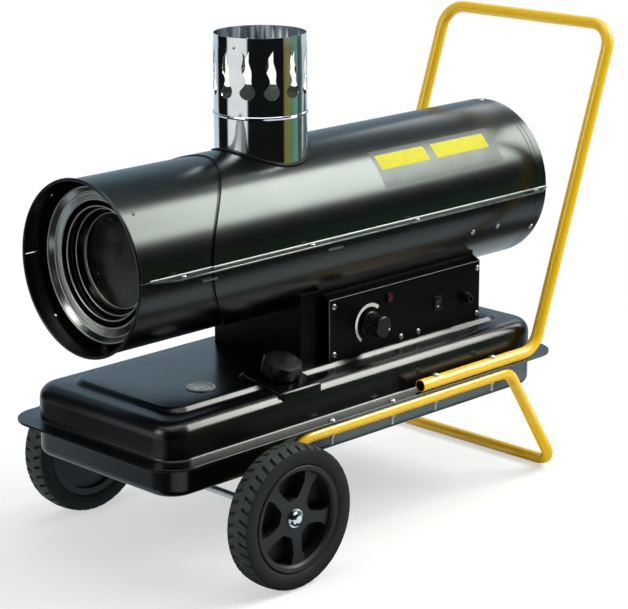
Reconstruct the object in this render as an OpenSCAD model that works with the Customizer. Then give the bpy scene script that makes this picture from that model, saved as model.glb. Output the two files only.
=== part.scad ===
// Indirect-fired forced-air heater on a two-wheel trolley.
// Warm air leaves towards -X, the controls face -Y and the floor is Z = 0.
// The origin lies on the floor under the middle of the object.
// "From the front" means back along X from the front edge of the tank flange,
// and "behind the rim" means back along X from the barrel's front rim.

/* [Barrel] */
// Outer diameter of the rear shells
barrel_d = 276; // [272:1:278]
// Length from the front rim to the rear end
barrel_l = 939; // [930:1:945]
// Height of the barrel's axis
barrel_z = 500; // [496:1:504]
// Front rim, from the front
barrel_u = 5; // [2:1:10]
// Sheet thickness of the shells
sheet = 1.5; // [1.2:0.1:1.8]
// Width of the outward seam flanges
seam_w = 18; // [16:1:20]
// Lap joint behind the rim, at the seam
lap_d = 148; // [146:1:152]
// How far the lap joint bows back towards the top and the bottom
lap_bow = 108; // [95:1:115]
// Radius of the rolled bead on the front rim
lip_r = 2.2; // [1.8:0.1:2.6]

/* [Outlet and burner] */
// Diameter of the outlet ring's outer lip
ring_d = 243; // [240:1:248]
// Diameter of the outlet ring's throat
throat_d = 198; // [196:1:202]
// Diameter of the heat exchanger drum
drum_d = 180; // [177:1:184]
// Diameter of the combustion chamber
chamber_d = 132; // [124:1:140]
// Diameter over the fan's blades
fan_d = 244; // [220:1:252]
// Diameter of the motor
motor_d = 92; // [80:1:100]

/* [Flue] */
// Outer diameter of the chrome sleeve
flue_d = 150; // [146:1:152]
// Flue axis, from the front
flue_u = 386; // [380:1:392]
// Height of the top of the sleeve
flue_top = 819; // [812:1:826]
// Number of flame-shaped cut-outs
flame_count = 12; // [10:1:12]
// Height of a flame
flame_h = 78; // [74:1:80]
// Diameter of a flame's round foot
flame_foot_d = 26; // [23:1:27]

/* [Pedestal and controls] */
// Front of the pedestal, from the front
pedestal_u = 373; // [370:1:380]
// Length of the pedestal
pedestal_l = 420; // [416:1:430]
// Width of the pedestal
pedestal_w = 204; // [200:1:208]
// Length of the control cover
cover_l = 370; // [366:1:374]
// Height of the control cover's face
cover_h = 103; // [100:1:104]
// How far the cover stands out of the pedestal's side
cover_out = 16; // [14:1:18]
// Diameter of the thermostat knob
knob_d = 40; // [36:1:42]
// How far the knob stands out of the cover
knob_l = 33; // [30:1:36]

/* [Tank] */
// Length of the tank over its walls
tank_l = 866; // [862:1:870]
// Width of the tank over its walls
tank_w = 340; // [336:1:344]
// Width of the welded flange
flange_w = 29; // [27:1:31]
// Height of the joint between the two pressings
tank_split = 219.5; // [219:0.5:220]
// Height of the tank's underside
tank_bottom = 162; // [158:1:166]
// Height of the border round the plateau
tank_top = 279; // [277:1:280]
// Rise of the plateau above the border
plateau = 8; // [7:1:9]
// Width of the border round the plateau
border = 50; // [46:1:51]
// Sheet thickness of the pressings
tank_sheet = 2; // [1.5:0.1:2.2]
// Diameter of the fuel cap
cap_d = 68; // [64:1:70]
// Lean of the filler's seat towards the operator, in degrees
filler_lean = 10; // [8:1:11]
// Lean of the filler neck and its cap, in degrees
cap_lean = 18; // [15:1:19]

/* [Trolley] */
// Handle tube diameter
handle_tube_d = 21; // [20:0.5:22]
// Leg tube diameter
leg_tube_d = 20; // [19:0.5:21]
// Distance of the tubes from the middle plane
tube_y = 191; // [189:0.5:192]
// Height of the handle's top bar
handle_z = 777.5; // [770:0.5:785]
// Foot of the handle's slope, from the front
handle_foot_u = 856; // [850:1:862]
// Open ends of the handle tube, from the front
handle_end_u = 563; // [560:1:570]
// Knee of the leg, from the front
leg_knee_u = 789; // [785:1:795]
// Axle, from the front
axle_u = 205; // [200:1:210]
// Wheel diameter
wheel_d = 230; // [226:1:234]
// Tyre width
wheel_w = 47; // [44:1:48]
// Inner face of the tyres, from the middle plane
wheel_y = 223; // [221:1:226]
// Axle diameter
axle_d = 12; // [11:1:13]

/* [Hidden] */
$fn = 64;

// Clearances: close parts, loose screw holes, running shafts
gap = 0.2;
loose = 0.2;
running = 0.05;

handle_tube_r = handle_tube_d / 2;
leg_tube_r = leg_tube_d / 2;
tube_wall = 1.5;
handle_bend = 42;
leg_bend = 38;
// Slopes in degrees: the handle, the leg behind its knee, the leg above the axle
handle_slope = 70.5;
leg_slope = 57;
leg_front_slope = 48;
flange_top = tank_split + tank_sheet;
flange_under = tank_split - tank_sheet;
handle_run_z = flange_top + handle_tube_r;
leg_run_z = flange_under - leg_tube_r;
handle_u = handle_foot_u + (handle_z - handle_run_z) / tan(handle_slope);
overall_l = handle_u + handle_tube_r;

barrel_r = barrel_d / 2;
bore_r = barrel_r - sheet;
front_r = bore_r - gap;
front_bore_r = front_r - sheet;
seam_y = barrel_r + seam_w;
lap_over = 12;
seam_screw_y = barrel_r + 10;
seam_screw_d = [78, 350, 593, 898];
screw_r = 2;
screw_hole_r = screw_r + loose;
// Screws of the motor bracket and the rear guard: [distance behind the rim, angle above the near side]
bracket_angles = [-22, 202];
bracket_screw_d = [756, 821];
guard_d = 922;
guard_angles = [-31, 90, 211];
// The bracket slots below the seam: [start, end] behind the rim
bracket_spans = [[125, 156], [397, 430]];
bracket_drop = 17;
bracket_t = 2.5;
rim_hole_d = 27;
rim_hole_r = 2.2;
slit_l = 30;
slit_h = 1.6;

ring_r = ring_d / 2;
throat_r = throat_d / 2;
ring_front_d = 36;
throat_front_d = 46;
liner_end_d = 118;
drum_r = drum_d / 2;
drum_sheet = 1.5;
drum_front_d = 49;
drum_step_d = 62;
drum_disc_d = 75;
drum_rear_d = 560;
chamber_r = chamber_d / 2;
chamber_front_d = 110;
burner_d = 540;
nozzle_r = 8;
fan_front_d = 648;
fan_depth = 30;
shaft_r = 5;
motor_r = motor_d / 2;
motor_front_d = 690;
motor_rear_d = 780;
pump_rear_d = 806;
filter_rear_d = 830;
hose_r = 4;
hose_low = 165;
pickup_d = 590;
pickup_y = 30;

flue_r = flue_d / 2;
flue_wall = 0.8;
spigot_r = flue_r - 0.6;
stub_r = flue_r - flue_wall - 0.5;
stub_wall = 1.2;
stub_top = flue_top - 72;
spigot_l = 18;
flame_foot_z = flue_top - spigot_l - 2 - flame_h;
bead_z = flue_top - 127;

plateau_z = tank_top + plateau;
tank_mid_u = flange_w + tank_l / 2;
pedestal_y = pedestal_w / 2;
panel_y = -pedestal_y - cover_out;
cover_u = pedestal_u + pedestal_l - cover_l;
cover_z = plateau_z + 1.5;
cover_top = cover_z + cover_h;
cover_lip = 7.5;

knob_place = [518, 334];
lamp_place = [564, 370];
switch_place = [685, 336];
gland_place = [756, 332];
cover_screw_places = [[433, 379], [433, 298], [786, 379], [786, 298], [593, 296], [636, 296]];
pedestal_screw_places = [[60, 297], [37, 317], [-60, 297], [-37, 317]];

corner_r = 45;
edge_r = 16;
plateau_corner_r = 30;
flange_corner_r = 56;
bolt_u = [354, 495, 600, 744];
bolt_r = 2.5;
bolt_hole_r = bolt_r + 0.3;

filler_u = 312;
filler_y = -116;
boss_l = 88;
boss_edge_y = -tank_w / 2 + 2;
boss_edge_z = tank_top + 1.5;
filler_z = boss_edge_z + (filler_y - boss_edge_y) * tan(filler_lean);
neck_r = 24;
neck_top = 14;
cap_r = cap_d / 2;

gauge_u = 187;
gauge_y = -67;
gauge_r = 23;
float_z = 180;
strip_z = float_z - 2;
strip_l = plateau_z - 17 - strip_z;
strip_twist = 360;

wheel_r = wheel_d / 2;
axle_r = axle_d / 2;
wheel_out = wheel_y + wheel_w;
notch_count = 40;
notch_depth = 3;
rim_r = 86;
hub_in = wheel_y - 4;
hub_out = wheel_y + 35;

// X of a place measured from the front, and of one measured behind the rim
function at(u) = u - overall_l / 2;
function rim(d) = at(barrel_u + d);

// Placing frames
module on_axis(d) translate([rim(d), 0, barrel_z]) rotate([0, 90, 0]) children();
module radial(d, a, r) translate([rim(d), 0, barrel_z]) rotate([90 - a, 0, 0]) translate([0, 0, r]) children();
module on_panel(p) translate([at(p[0]), panel_y, p[1]]) rotate([90, 0, 0]) children();
module on_filler() translate([at(filler_u), filler_y, filler_z]) rotate([cap_lean, 0, 0]) children();
module on_gauge() translate([at(gauge_u), gauge_y, 0]) children();
module on_flue() translate([at(flue_u), 0, 0]) children();
module on_wheel(side) translate([at(axle_u), 0, wheel_r]) rotate([-side * 90, 0, 0]) children();

// A ring or pipe standing on Z, from z0 to z1
module pipe(z0, z1, r, inner) {
  difference() {
    translate([0, 0, z0]) cylinder(h = z1 - z0, r = r);
    translate([0, 0, z0 - 1]) cylinder(h = z1 - z0 + 2, r = inner);
  }
}

// A plain round bar on Z, from z0 to z1
module bar(z0, z1, r) translate([0, 0, z0]) cylinder(h = z1 - z0, r = r);

// A pipe on the barrel's axis, between two distances behind the rim
module barrel_pipe(d0, d1, r, inner) on_axis(d0) pipe(0, d1 - d0, r, inner);

// The half space above or below the barrel's axis
module half(upper) {
  translate([at(-40), -barrel_d, barrel_z - (upper ? 0 : barrel_d)])
    cube([overall_l + 80, 2 * barrel_d, barrel_d]);
}

// A pan-head screw along -Z, with its head standing on Z = 0
module pan_screw(l, head_r = 4.6, head_h = 2.6) {
  bar(-l, 0.5, screw_r);
  rotate_extrude()
    polygon([[0, 0], [head_r, 0], [head_r, head_h * 0.45], [head_r * 0.75, head_h * 0.85], [head_r * 0.3, head_h],
      [0, head_h]]);
}

// Cross-section of a tube, or of a bar where inner is 0
module section(r, inner) {
  difference() {
    circle(r);
    if (inner > 0) circle(inner);
  }
}

// The frame that follows a bend towards X
module after_bend(bend, angle) translate([bend, 0, 0]) rotate([0, angle, 0]) translate([-bend, 0, 0]) children();

// The part of a torus between the plane before a bend and the plane after it
module elbow(bend, angle, r, inner) {
  size = 4 * (bend + r);
  intersection() {
    translate([bend, 0, 0]) rotate([90, 0, 0]) rotate_extrude() translate([bend, 0]) section(r, inner);
    translate([-size / 2, -size / 2, 0]) cube(size);
    after_bend(bend, angle) translate([-size / 2, -size / 2, -size]) cube(size);
  }
}

// A bent tube along Z. Each step is a straight's length, then the angle of the bend after it,
// and the roll that turns the bend's direction from X
module bent_tube(steps, bend, r, inner = 0, i = 0) {
  linear_extrude(steps[i][0]) section(r, inner);
  if (i < len(steps) - 1)
    translate([0, 0, steps[i][0]]) rotate(steps[i][2]) {
      elbow(bend, steps[i][1], r, inner);
      after_bend(bend, steps[i][1]) bent_tube(steps, bend, r, inner, i + 1);
    }
}

// Frame tubes: rings of points along the near half of the tube, then their mirror images.
// A ring holds its centre, the direction to its side, and the direction to its top
function along(a) = [cos(a), 0, sin(a)];
function across(a) = [-sin(a), 0, cos(a)];
function ring(p, a) = [p, [0, 1, 0], across(a)];

// Rings round a bend in the upright plane, from slope a through turn
function bend_rings(p, a, turn, bend, n = 5) =
  [for (i = [0:n]) ring(p + sign(turn) * bend * (across(a) - across(a + turn * i / n)), a + turn * i / n)];

// Rings round the quarter turn into the cross bar
function cross_rings(p, a, bend, n = 8) =
  [for (i = [0:n]) let (t = 90 * i / n)
    [p + bend * ([0, 1 - cos(t), 0] + along(a) * sin(t)), [0, cos(t), 0] - along(a) * sin(t), across(a)]];

// Where a bend ends, and the length that it takes from each of its straights
function bend_end(p, a, turn, bend) = p + sign(turn) * bend * (across(a) - across(a + turn));
function setback(bend, turn) = bend * tan(abs(turn) / 2);

// Closed tube through the rings of one half and their mirror images
module frame_tube(half_rings, r, inner) {
  sides = 20;
  last = 2 * len(half_rings) - 1;
  rings = [for (i = [0:last]) i < len(half_rings) ? half_rings[i] : half_rings[last - i]];
  wall = [for (i = [0:last], q = [r, inner], k = [0:sides - 1]) let (g = rings[i], v = i < len(half_rings) ? 1 : -1,
    c = g[0] + q * (g[1] * cos(360 * k / sides) + g[2] * sin(360 * k / sides))) [c[0], v * c[1], c[2]]];
  function at_ring(i, layer, k) = (2 * i + layer) * sides + k % sides;
  outside = [for (i = [0:last - 1], k = [0:sides - 1])
    [at_ring(i, 0, k), at_ring(i + 1, 0, k), at_ring(i + 1, 0, k + 1), at_ring(i, 0, k + 1)]];
  inside = [for (i = [0:last - 1], k = [0:sides - 1])
    [at_ring(i, 1, k + 1), at_ring(i + 1, 1, k + 1), at_ring(i + 1, 1, k), at_ring(i, 1, k)]];
  ends = [for (k = [0:sides - 1]) each
    [[at_ring(0, 0, k), at_ring(0, 0, k + 1), at_ring(0, 1, k + 1), at_ring(0, 1, k)],
      [at_ring(last, 0, k + 1), at_ring(last, 0, k), at_ring(last, 1, k), at_ring(last, 1, k + 1)]]];
  polyhedron(wall, concat(outside, inside, ends));
}

// Shell of the barrel

// Everything in front of the bowed lap line, moved back by extra
function lap_line(z, extra) = rim(lap_d + extra + lap_bow * pow(z / barrel_r, 2));
module lap_front(extra) {
  steps = 12;
  reach = barrel_r + 4;
  curve = [for (i = [-steps:steps]) [lap_line(i * reach / steps, extra), i * reach / steps]];
  translate([0, barrel_d, barrel_z]) rotate([90, 0, 0])
    linear_extrude(2 * barrel_d) polygon(concat([[rim(-20), reach], [rim(-20), -reach]], curve));
}

// Outward flanges on both sides, tapered over the first and the last stretch
module seam_flanges(d0, d1, r, taper, tail, upper) {
  root = r - sheet / 2;
  for (s = [-1, 1])
    translate([0, 0, barrel_z - (upper ? 0 : sheet)]) linear_extrude(sheet)
      polygon([[rim(d0), s * root], [rim(d0 + taper), s * seam_y], [rim(d1 - tail), s * seam_y], [rim(d1), s * root]]);
}

module seam_holes() {
  for (d = seam_screw_d, s = [-1, 1])
    translate([rim(d), s * seam_screw_y, barrel_z - 5]) cylinder(h = 10, r = screw_hole_r);
}

// Slots below the seam that the drum's brackets reach through
module bracket_slots() {
  for (span = bracket_spans, s = [-1, 1])
    translate([rim(span[0] - 1), s * barrel_r - 12, barrel_z - bracket_drop - bracket_t / 2 - 0.3])
      cube([span[1] - span[0] + 2, 24, bracket_t + 0.6]);
}

module front_shell(upper) {
  color("#1b1b1c") difference() {
    union() {
      intersection() {
        union() {
          barrel_pipe(0, lap_d + lap_bow + lap_over + 8, front_r, front_bore_r);
          on_axis(lip_r) rotate_extrude() translate([front_r + 0.8, 0]) circle(lip_r);
        }
        half(upper);
        lap_front(lap_over);
      }
      seam_flanges(22, lap_d - 0.3, front_r, 40, 0, upper);
    }
    translate([rim(-5), -barrel_d, barrel_z - slit_h / 2]) cube([slit_l + 5, 2 * barrel_d, slit_h]);
    for (a = upper ? [45, 135] : [-45, -135]) radial(rim_hole_d, a, front_r - 6) cylinder(h = 12, r = rim_hole_r);
    seam_holes();
    bracket_slots();
  }
}

module rear_shell(upper) {
  color("#1b1b1c") difference() {
    union() {
      difference() {
        intersection() {
          barrel_pipe(lap_d - 5, barrel_l, barrel_r, bore_r);
          half(upper);
        }
        lap_front(0);
      }
      seam_flanges(lap_d, barrel_l, barrel_r, 0, 30, upper);
    }
    for (d = [15, 25]) on_axis(barrel_l - d) rotate_extrude() translate([barrel_r, 0]) circle(0.8);
    seam_holes();
    shell_screw_places() translate([0, 0, -4]) cylinder(h = 8, r = screw_hole_r);
    if (upper) on_flue() bar(barrel_z + 20, flue_top, flue_r + 0.6);
    if (!upper) {
      bracket_slots();
      for (d = [620, 720]) translate([rim(d), 0, barrel_z - barrel_r - 10]) cylinder(h = 20, r = hose_r + 1);
      translate([rim(pickup_d), pickup_y, barrel_z - barrel_r - 10]) cylinder(h = 30, r = hose_r);
    }
  }
}

// Every screw that goes into the shells along a radius
module shell_screw_places() {
  for (a = bracket_angles, d = bracket_screw_d) radial(d, a, barrel_r) children();
  for (a = guard_angles) radial(guard_d, a, barrel_r) children();
}

module front_upper_shell() front_shell(true);
module front_lower_shell() front_shell(false);
module rear_upper_shell() rear_shell(true);
module rear_lower_shell() rear_shell(false);

module shell_screws() {
  color("#b9bcbf") {
    for (d = seam_screw_d, s = [-1, 1]) translate([rim(d), s * seam_screw_y, barrel_z + sheet]) pan_screw(9);
    for (a = bracket_angles, d = bracket_screw_d) radial(d, a, barrel_r) pan_screw(8);
    for (a = guard_angles) radial(guard_d, a, barrel_r) pan_screw(4);
  }
}

// Warm air outlet and heat exchanger

module outlet_ring() {
  t = 1.2;
  tab_d = 44;
  color("#c9cacb") {
    on_axis(0) rotate_extrude()
      polygon([[ring_r, ring_front_d], [ring_r - 8, 43], [throat_r + 2, 45.2], [throat_r, 47],
        [throat_r, liner_end_d], [throat_r + t, liner_end_d], [throat_r + t, 48.5], [throat_r + 2.6, 46.7],
        [ring_r - 8, 44.6], [ring_r + 0.6, ring_front_d + t]]);
    on_axis(throat_front_d) rotate_extrude() translate([throat_r + 1.6, 0]) circle(1.8);
    on_axis(43.8) rotate_extrude() translate([ring_r - 8, 0]) circle(1.2);
    on_axis(ring_front_d) rotate_extrude() translate([ring_r, 0]) circle(1.4);
    intersection() {
      union() {
        barrel_pipe(tab_d, tab_d + 14, front_bore_r, front_bore_r - 1.5);
        barrel_pipe(tab_d, tab_d + 1.5, front_bore_r, ring_r - 9.4);
      }
      translate([rim(0), -7, barrel_z - barrel_d]) cube([100, 14, 2 * barrel_d]);
    }
  }
}

// Closed drum, its front end a dished pressing set back behind the rolled edge
module drum() {
  color("#9a9a97") difference() {
    union() {
      barrel_pipe(drum_front_d, drum_rear_d, drum_r, drum_r - drum_sheet);
      on_axis(drum_front_d) rotate_extrude() translate([drum_r - 0.6, 0]) circle(1.3);
      on_axis(drum_step_d) rotate_extrude() translate([drum_r - 6.6, 0]) circle(1.1);
      on_axis(0) rotate_extrude()
        polygon([[drum_r - 0.75, drum_step_d], [drum_r - 7, drum_step_d], [drum_r - 8, 68], [drum_r - 11, 73],
          [drum_r - 16, drum_disc_d], [0, drum_disc_d], [0, drum_disc_d + 1.5], [drum_r - 15.5, drum_disc_d + 1.5],
          [drum_r - 9.6, 74.2], [drum_r - 6.5, 68.6], [drum_r - 5.6, 63.5], [drum_r - 0.75, 63.5]]);
      on_axis(drum_rear_d - 1.5) bar(0, 1.5, drum_r - drum_sheet / 2);
    }
    on_flue() bar(barrel_z + chamber_r * 0.6, barrel_z + drum_r + 10, stub_r - stub_wall);
    on_axis(drum_rear_d - 10) bar(0, 20, chamber_r);
  }
}

// Flat plates between the drum and the slots in the lower shells
module drum_brackets() {
  color("#c2c4c6") difference() {
    for (span = bracket_spans, s = [-1, 1])
      translate([rim(span[0]), s > 0 ? 0 : -barrel_r - 1, barrel_z - bracket_drop - bracket_t / 2])
        cube([span[1] - span[0], barrel_r + 1, bracket_t]);
    on_axis(0) bar(0, 600, drum_r);
  }
}

module combustion_chamber() {
  color("#8a857d") difference() {
    union() {
      barrel_pipe(chamber_front_d, drum_rear_d, chamber_r, chamber_r - 1.5);
      on_axis(chamber_front_d) bar(0, 2, chamber_r);
      barrel_pipe(drum_rear_d, drum_rear_d + 1.5, chamber_r + 14, chamber_r - 1.5);
    }
    for (a = [0:45:315]) radial(chamber_front_d + 32, a, chamber_r - 8) cylinder(h = 16, r = 10);
  }
}

// Swirl plate across the rear of the chamber
module burner_head() {
  plate_r = chamber_r - 1.5;
  color("#6f7173") on_axis(burner_d) difference() {
    bar(0, 2, plate_r);
    translate([0, 0, -1]) cylinder(h = 4, r = nozzle_r);
    for (s = [-1, 1]) translate([-16, s * 20, -1]) cylinder(h = 4, r = 4);
    for (i = [0:11]) rotate(i * 30) translate([plate_r * 0.58, -1.5, -1]) rotate(18) cube([plate_r * 0.3, 3, 4]);
  }
}

module fuel_nozzle() {
  color("#b08d3c") on_axis(burner_d) {
    bar(-16, 60, nozzle_r);
    bar(-22, -16, 4);
    translate([0, 0, 6]) cylinder(h = 14, r = 12, $fn = 6);
  }
}

module igniter_electrodes() {
  color("#e8e4da") on_axis(burner_d) for (s = [-1, 1]) translate([-16, s * 20, 0]) {
    bar(-8, 46, 4);
    bar(-34, 56, 1.2);
  }
}

// Fan, motor and pump

module fan() {
  blades = 5;
  chord = 76;
  pitch = 26;
  hub_r = 22;
  color("#d0d2d3") on_axis(fan_front_d) difference() {
    union() {
      bar(0, fan_depth, hub_r);
      intersection() {
        pipe(-5, fan_depth + 5, fan_d / 2, hub_r - 4);
        union() for (i = [0:blades - 1]) rotate(i * 360 / blades) translate([0, 0, fan_depth / 2]) rotate([pitch, 0, 0])
          translate([0, -chord / 2, -1]) cube([fan_d, chord, 2]);
      }
    }
    translate([0, 0, -10]) cylinder(h = fan_depth + 20, r = shaft_r);
  }
}

module motor_shaft() color("#cfd1d3") on_axis(fan_front_d - 6) bar(0, pump_rear_d - 4 - fan_front_d + 6, shaft_r);

module motor() {
  color("#3a3d40") on_axis(motor_front_d) difference() {
    union() {
      bar(0, motor_rear_d - motor_front_d, motor_r);
      bar(-5, 0, motor_r * 0.55);
    }
    for (z = [12:8:36]) translate([0, 0, z]) rotate_extrude() translate([motor_r, 0]) square([3, 3], center = true);
    translate([0, 0, -10]) cylinder(h = 200, r = shaft_r + running);
  }
}

// Clamp ring round the motor, with two arms and curved feet screwed to the lower shell
module motor_bracket() {
  ring_d0 = 735;
  ring_d1 = 775;
  foot_half = 15;
  color("#55585b") difference() {
    union() {
      barrel_pipe(ring_d0, ring_d1, motor_r + 3, motor_r);
      for (a = bracket_angles) {
        radial(748, a, motor_r + 1) translate([0, -2, 0]) cube([24, 4, bore_r - motor_r - 2]);
        intersection() {
          barrel_pipe(745, 832, bore_r, bore_r - 2);
          radial(745, a, bore_r - 20) translate([0, -foot_half, 0]) cube([87, 2 * foot_half, 40]);
        }
      }
    }
    shell_screw_places() translate([0, 0, -12]) cylinder(h = 14, r = screw_hole_r);
  }
}

module air_pump() {
  pump_r = motor_r - 6;
  color("#a9abad") on_axis(motor_rear_d) difference() {
    union() {
      bar(0, pump_rear_d - motor_rear_d, pump_r);
      for (a = [45:90:315]) rotate(a) translate([pump_r - 4, 0, 0]) bar(0, pump_rear_d - motor_rear_d, 7);
    }
    translate([0, 0, -1]) cylinder(h = pump_rear_d - motor_rear_d - 2, r = shaft_r + running);
    translate([pump_r - 2, 0, 13]) rotate([0, 90, 0]) cylinder(h = 10, r = hose_r);
  }
}

module pump_filter() {
  pump_r = motor_r - 6;
  color("#2b2c2e") on_axis(pump_rear_d) {
    bar(0, filter_rear_d - pump_rear_d - 6, pump_r - 2);
    bar(0, filter_rear_d - pump_rear_d, pump_r - 14);
    translate([0, pump_r * 0.45, 0]) bar(0, filter_rear_d - pump_rear_d + 6, 5);
  }
}

// Hose from the pump, under the fan through the pedestal, to the nozzle
module air_hose() {
  bend = 15;
  start = motor_r - 8;
  mid = 75;
  steps = [[mid - start - bend, 90, 180], [73 - 2 * bend, 90, 180], [hose_low - mid - 2 * bend, 90, 180],
    [100 - 2 * bend, 90, 0], [hose_low - 2 * bend, 90, 180], [20 - bend, 0, 0]];
  color("#202021") translate([rim(793), 0, barrel_z - start]) rotate([180, 0, 0]) bent_tube(steps, bend, hose_r);
}

// Pipe from the tank's pickup to the side of the nozzle
module fuel_line() {
  bend = 14;
  start = plateau_z + 18;
  color("#b8733a") difference() {
    translate([rim(pickup_d), pickup_y, start])
      bent_tube([[barrel_z - start - bend, 90, -90], [pickup_y - bend - nozzle_r + 2, 0, 0]], bend, 3);
    on_axis(burner_d) bar(-16, 60, nozzle_r);
  }
}

// Rings and spokes of wire across the rear of the barrel, on three curved tabs
module rear_guard() {
  wire = 1.6;
  edge_wire = 2.5;
  tab_r = bore_r - 2;
  color("#2a2b2c") {
    on_axis(guard_d) {
      rotate_extrude() translate([tab_r - edge_wire - 0.8, 0]) circle(edge_wire);
      for (r = [22:16:118]) rotate_extrude() translate([r, 0]) circle(wire);
      for (a = [0:60:300]) rotate(a) translate([20, -2, -2.4]) cube([tab_r - 22, 4, 1.8]);
      bar(-1, 1, 23);
    }
    difference() {
      intersection() {
        barrel_pipe(guard_d - 10, guard_d + 10, bore_r, tab_r - 1.2);
        union() for (a = guard_angles) radial(guard_d - 10, a, bore_r - 20) translate([0, -9, 0]) cube([20, 18, 40]);
      }
      shell_screw_places() translate([0, 0, -20]) cylinder(h = 22, r = screw_hole_r);
    }
  }
}

// Flue

module flue_stub() {
  color("#8d8c88") difference() {
    on_flue() pipe(barrel_z + 30, stub_top, stub_r, stub_r - stub_wall);
    on_axis(0) bar(0, barrel_l, drum_r);
  }
}

// Outline of one flame, wavy above its round foot, with a single or a forked tip
module flame(forked) {
  foot_r = flame_foot_d / 2;
  top = flame_h - 13;
  steps = 22;
  function half_w(h) = h < foot_r ? sqrt(foot_r * foot_r - (foot_r - h) * (foot_r - h))
    : 6.3 + 1.6 * sin(10 * (h - 38)) + (foot_r - 7.8) * exp(-pow((h - foot_r) / 9, 2));
  function sway(h) = h < foot_r ? 0 : 2.2 * sin(6 * (h - foot_r));
  rise = [for (i = [0:steps]) 0.8 + (top - 0.8) * i / steps];
  left = [for (h = rise) [sway(h) - half_w(h), h]];
  right = [for (i = [steps:-1:0]) [sway(rise[i]) + half_w(rise[i]), rise[i]]];
  tip = forked ? [[-7, flame_h - 1], [-1.6, top + 2], [3.6, flame_h]] : [[2.6, flame_h]];
  polygon(concat(left, tip, right));
}

// Sleeve with a bead, and a plain top ring drawn in to take the flue pipe
module flue_sleeve() {
  color("#dfe3e6") difference() {
    on_flue() union() {
      pipe(barrel_z + 60, flue_top - spigot_l, flue_r, flue_r - flue_wall);
      pipe(flue_top - spigot_l - 1.2, flue_top, spigot_r, spigot_r - flue_wall);
      translate([0, 0, bead_z]) rotate_extrude()
        polygon([[flue_r - 0.4, -3], [flue_r + 1.2, -1.8], [flue_r + 2, 0], [flue_r + 1.2, 1.8], [flue_r - 0.4, 3]]);
    }
    on_axis(0) bar(0, barrel_l, barrel_r - 3);
    on_flue() for (i = [0:flame_count - 1])
      rotate(i * 360 / flame_count) translate([0, 0, flame_foot_z]) rotate([90, 0, 0])
        translate([0, 0, flue_r - 8]) linear_extrude(14) flame(i % 2 == 0);
  }
}

// Saddle collar round the foot of the flue
module flue_gasket() {
  color("#18181a") intersection() {
    on_flue() pipe(barrel_z + 60, flue_top, flue_r + 5, flue_r + 0.1);
    barrel_pipe(100, barrel_l, barrel_r + 2.5, barrel_r);
  }
}

// Pedestal and controls

module pedestal() {
  wall = 1.5;
  foot = 14;
  front = at(pedestal_u);
  color("#17181a") difference() {
    translate([front, -pedestal_y, plateau_z]) cube([pedestal_l, pedestal_w, barrel_z - 60 - plateau_z]);
    translate([front + wall, wall - pedestal_y, plateau_z + wall])
      cube([pedestal_l - 2 * wall, pedestal_w - 2 * wall, barrel_z]);
    translate([front + foot, foot - pedestal_y, plateau_z - 1])
      cube([pedestal_l - 2 * foot, pedestal_w - 2 * foot, barrel_z]);
    on_axis(0) bar(0, barrel_l + 10, barrel_r);
    translate([at(cover_u + 10), -pedestal_y - 5, cover_z + 12]) cube([cover_l - 20, 10, cover_h - 24]);
    for (p = pedestal_screw_places)
      translate([front - 5, p[0], p[1]]) rotate([0, 90, 0]) cylinder(h = 10, r = screw_hole_r);
  }
}

module pedestal_screws() {
  color("#55585b") for (p = pedestal_screw_places)
    translate([at(pedestal_u), p[0], p[1]]) rotate([0, -90, 0]) pan_screw(8, 3.6, 2);
}

// Folded cover with a sloping top, open towards the pedestal
module cover_form(t) {
  back = -pedestal_y;
  translate([at(cover_u) + t, 0, 0]) rotate([90, 0, 90]) linear_extrude(cover_l - 2 * t)
    polygon([[panel_y + t, cover_z + t], [back, cover_z + t], [back, cover_top + cover_lip - t * 1.1],
      [panel_y + t, cover_top - t]]);
}

module control_cover() {
  color("#1d1e1f") difference() {
    cover_form(0);
    intersection() {
      cover_form(1.5);
      translate([at(0), -300, 0]) cube([overall_l, 300 - pedestal_y + 1, 500]);
    }
    translate([at(cover_u) + 1.5, -pedestal_y - 1, cover_z + 1.5]) cube([cover_l - 3, 2, cover_h + 4]);
    for (p = cover_screw_places) on_panel(p) translate([0, 0, -5]) cylinder(h = 10, r = screw_hole_r);
    on_panel(knob_place) translate([0, 0, -5]) cylinder(h = 10, r = 4.6);
    on_panel(lamp_place) translate([0, 0, -5]) cylinder(h = 10, r = 5.5);
    on_panel(gland_place) translate([0, 0, -5]) cylinder(h = 10, r = 7.6);
    on_panel(switch_place) cube([13.4, 20.6, 10], center = true);
  }
}

module cover_screws() color("#c4c7ca") for (p = cover_screw_places) on_panel(p) pan_screw(10, 5, 3.2);

module thermostat_body() {
  color("#3d3f42") on_panel(knob_place) difference() {
    union() {
      bar(-24, -1.5, 16);
      bar(-1.5, 2.5, 4.5);
      translate([-10, -22, -20]) cube([20, 8, 14]);
    }
    translate([0, 0, -22]) cylinder(h = 30, r = 3 + running);
  }
}

module thermostat_spindle() color("#b9bcbf") on_panel(knob_place) bar(-18, 20, 3);

// Fluted knob with a skirt
module thermostat_knob() {
  r = knob_d / 2;
  color("#1a1a1b") on_panel(knob_place) difference() {
    rotate_extrude()
      polygon([[0, 0.5], [r + 1, 0.5], [r + 1, 3.5], [r - 0.5, 4.5], [r - 2, knob_l - 2], [r - 4, knob_l],
        [0, knob_l]]);
    for (i = [0:17]) rotate(i * 20 + 10) translate([r - 1, 0, 5.5]) cylinder(h = knob_l, r = 2.1);
    bar(0, 3.5, 7);
    bar(0, 20, 3);
  }
}

module indicator_lamp() {
  color("#8c1d22") on_panel(lamp_place) {
    translate([-7, -8, 0]) cube([14, 16, 1.5]);
    translate([-5.5, -6.5, 1.5]) cube([11, 13, 2.5]);
    bar(-14, 0, 5.4);
  }
}

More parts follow.
